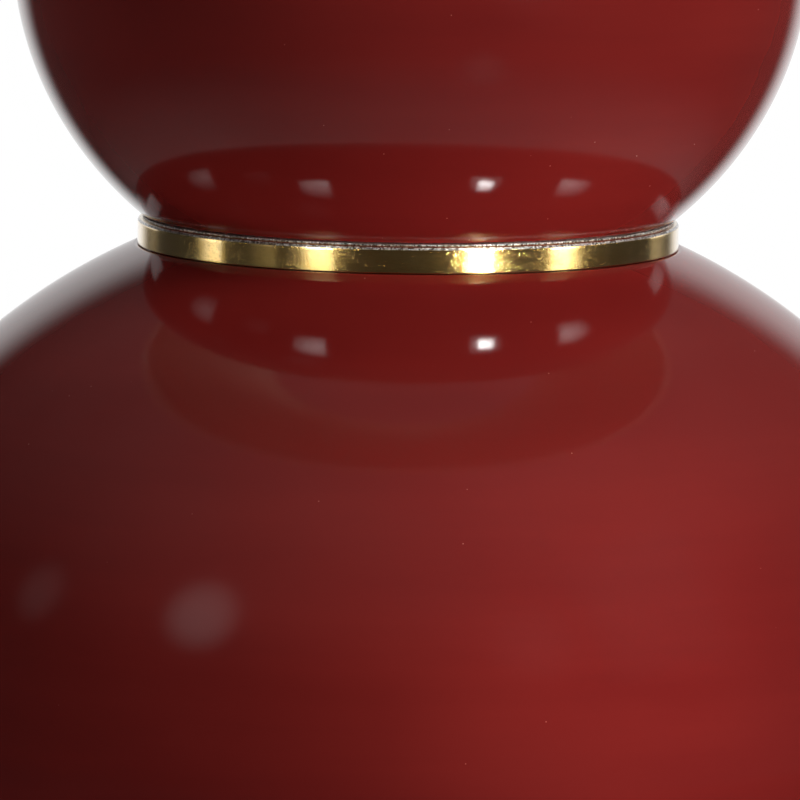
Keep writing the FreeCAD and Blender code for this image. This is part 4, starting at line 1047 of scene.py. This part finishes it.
def studio_floor():
    """A matt pale floor that keeps the lamp's shadow and turns into the white further out.

    In gloss it turns white behind the lamp and dim in front of it, as the room does.
    """
    finish = Finish("Studio floor", roughness=0.7, specular_ior_level=0.2)
    here = finish.place()
    x, y = finish.part(here, "X"), finish.part(here, "Y")
    grain = finish.noise(60.0, 3.0, 0.5).ramp(0.3, 0.7)
    finish.set("base color", finish.mix(grain, tone(226, 225, 223), tone(230, 229, 227)))
    glossy, seen = looked_at(finish)
    away = (x * x + y * y) ** 0.5
    share = finish.maths("MAXIMUM", away.ramp(0.45, 1.4) * seen, away.ramp(-0.2, 0.7) * glossy)
    behind = finish.maths("DIVIDE", y, (x * x + y * y + RING_TOP**2) ** 0.5)
    white = finish.maths("MAXIMUM", seen, behind.ramp(WHITE_EDGE, WHITE_FULL))
    glow = finish.tree.nodes.new("ShaderNodeEmission")
    finish.fill(glow.inputs[0], finish.mix(white, (0.04, 0.04, 0.04), (1.0, 1.0, 1.0)))
    blend = finish.tree.nodes.new("ShaderNodeMixShader")
    output = next(n for n in finish.tree.nodes if n.bl_idname == "ShaderNodeOutputMaterial")
    finish.fill(blend.inputs[0], share)
    finish.tree.links.new(finish.shader.outputs[0], blend.inputs[1])
    finish.tree.links.new(glow.outputs[0], blend.inputs[2])
    finish.tree.links.new(blend.outputs[0], output.inputs[0])
    return finish.material


def lamp(name, azimuth, elevation, distance, size, radiance, spread):
    """An area lamp that faces the waist: angles in degrees, size as width and height.

    With an open beam, its power is radiance * pi * area. A grid that narrows the beam to less than
    180 degrees gathers the light in the middle: radiance is then the middle's, and the power falls
    by 1 - half / tan(half), where half is half the spread.
    """
    waist = Vector((0, 0, RING_TOP + 9 * MM))
    way = toward(azimuth, elevation)
    half = math.radians(spread) / 2
    light = bpy.data.lights.new(name, "AREA")
    light.shape = "RECTANGLE"
    light.size, light.size_y = size
    light.spread = 2 * half
    light.energy = radiance * math.pi * size[0] * size[1] * (1 - half / math.tan(half))
    made = bpy.data.objects.new(name, light)
    made.location = waist + way * distance
    made.rotation_mode = "QUATERNION"
    made.rotation_quaternion = (-way).to_track_quat("-Z", "Y")
    made.visible_camera = False
    bpy.context.scene.collection.objects.link(made)
    return made


class LAMP_OT_studio(bpy.types.Operator):
    """Makes the camera, the floor, the lamps and the sky"""

    bl_idname = "lamp.studio"
    bl_label = "Studio"

    def execute(self, context):
        look = context.scene.lamp_studio
        way = Vector((0, -math.cos(look.elevation), math.sin(look.elevation)))
        camera = bpy.data.objects.new("camera", bpy.data.cameras.new("camera"))
        sensor = 36
        camera.data.sensor_width = sensor
        camera.data.lens = sensor * look.distance / look.width
        camera.location = Vector(look.aim) + way * look.distance
        camera.rotation_mode = "QUATERNION"
        roll = Quaternion((0, 0, 1), look.roll)
        camera.rotation_quaternion = (-way).to_track_quat("-Z", "Y") @ roll
        context.scene.collection.objects.link(camera)
        context.scene.camera = camera
        context.scene.view_settings.view_transform = "Standard"
        context.scene.world = studio_sky()
        reach = 9.0
        corners = reach * np.array([[-1, -1, 0], [1, -1, 0], [1, 1, 0], [-1, 1, 0]])
        floor = piece("floor", corners, np.array([[0, 1, 2, 3]]))
        floor.data.materials.append(studio_floor())
        for name, (*where, radiance, spread) in GLOSS_LAMPS.items():
            lamp(name, *where, radiance * look.brightness, spread).visible_diffuse = False
        for name, (*where, radiance, spread) in MATT_LAMPS.items():
            lamp(name, *where, radiance * look.brightness, spread).visible_glossy = False
        return {"FINISHED"}


class LAMP_PT_build(bpy.types.Panel):
    """Lists the steps that build the lamp, and its sizes and colours"""

    bl_idname = "LAMP_PT_build"
    bl_label = "Double gourd lamp"
    bl_space_type = "VIEW_3D"
    bl_region_type = "UI"
    bl_category = "Lamp"

    def draw(self, context):
        for step in STEPS:
            self.layout.operator(step.bl_idname)
        for name in LOOKS:
            look = getattr(context.scene, name)
            box = self.layout.box()
            for prop in type(look).__annotations__:
                box.prop(look, prop)


STEPS = (
    LAMP_OT_studio,
    LAMP_OT_gourds,
    LAMP_OT_waist,
    LAMP_OT_foot,
    LAMP_OT_neck,
    LAMP_OT_socket,
    LAMP_OT_bulb,
    LAMP_OT_harp,
    LAMP_OT_shade,
    LAMP_OT_finial,
)
LOOKS = {
    "lamp_glaze": GlazeLook,
    "lamp_brass": BrassLook,
    "lamp_shade": ShadeLook,
    "lamp_studio": StudioLook,
}


def register():
    for group in (*LOOKS.values(), *STEPS, LAMP_PT_build):
        bpy.utils.register_class(group)
    for name, look in LOOKS.items():
        setattr(bpy.types.Scene, name, PointerProperty(type=look))


def unregister():
    for name in LOOKS:
        delattr(bpy.types.Scene, name)
    for group in (LAMP_PT_build, *reversed(STEPS), *reversed(LOOKS.values())):
        bpy.utils.unregister_class(group)


def main():
    register()
    bpy.ops.lamp.studio()
    bpy.ops.lamp.gourds()
    bpy.ops.lamp.waist()
    bpy.ops.lamp.foot()
    bpy.ops.lamp.neck()
    bpy.ops.lamp.socket()
    bpy.ops.lamp.bulb()
    bpy.ops.lamp.harp()
    bpy.ops.lamp.shade()
    bpy.ops.lamp.finial()


if __name__ == "__main__":
    main()
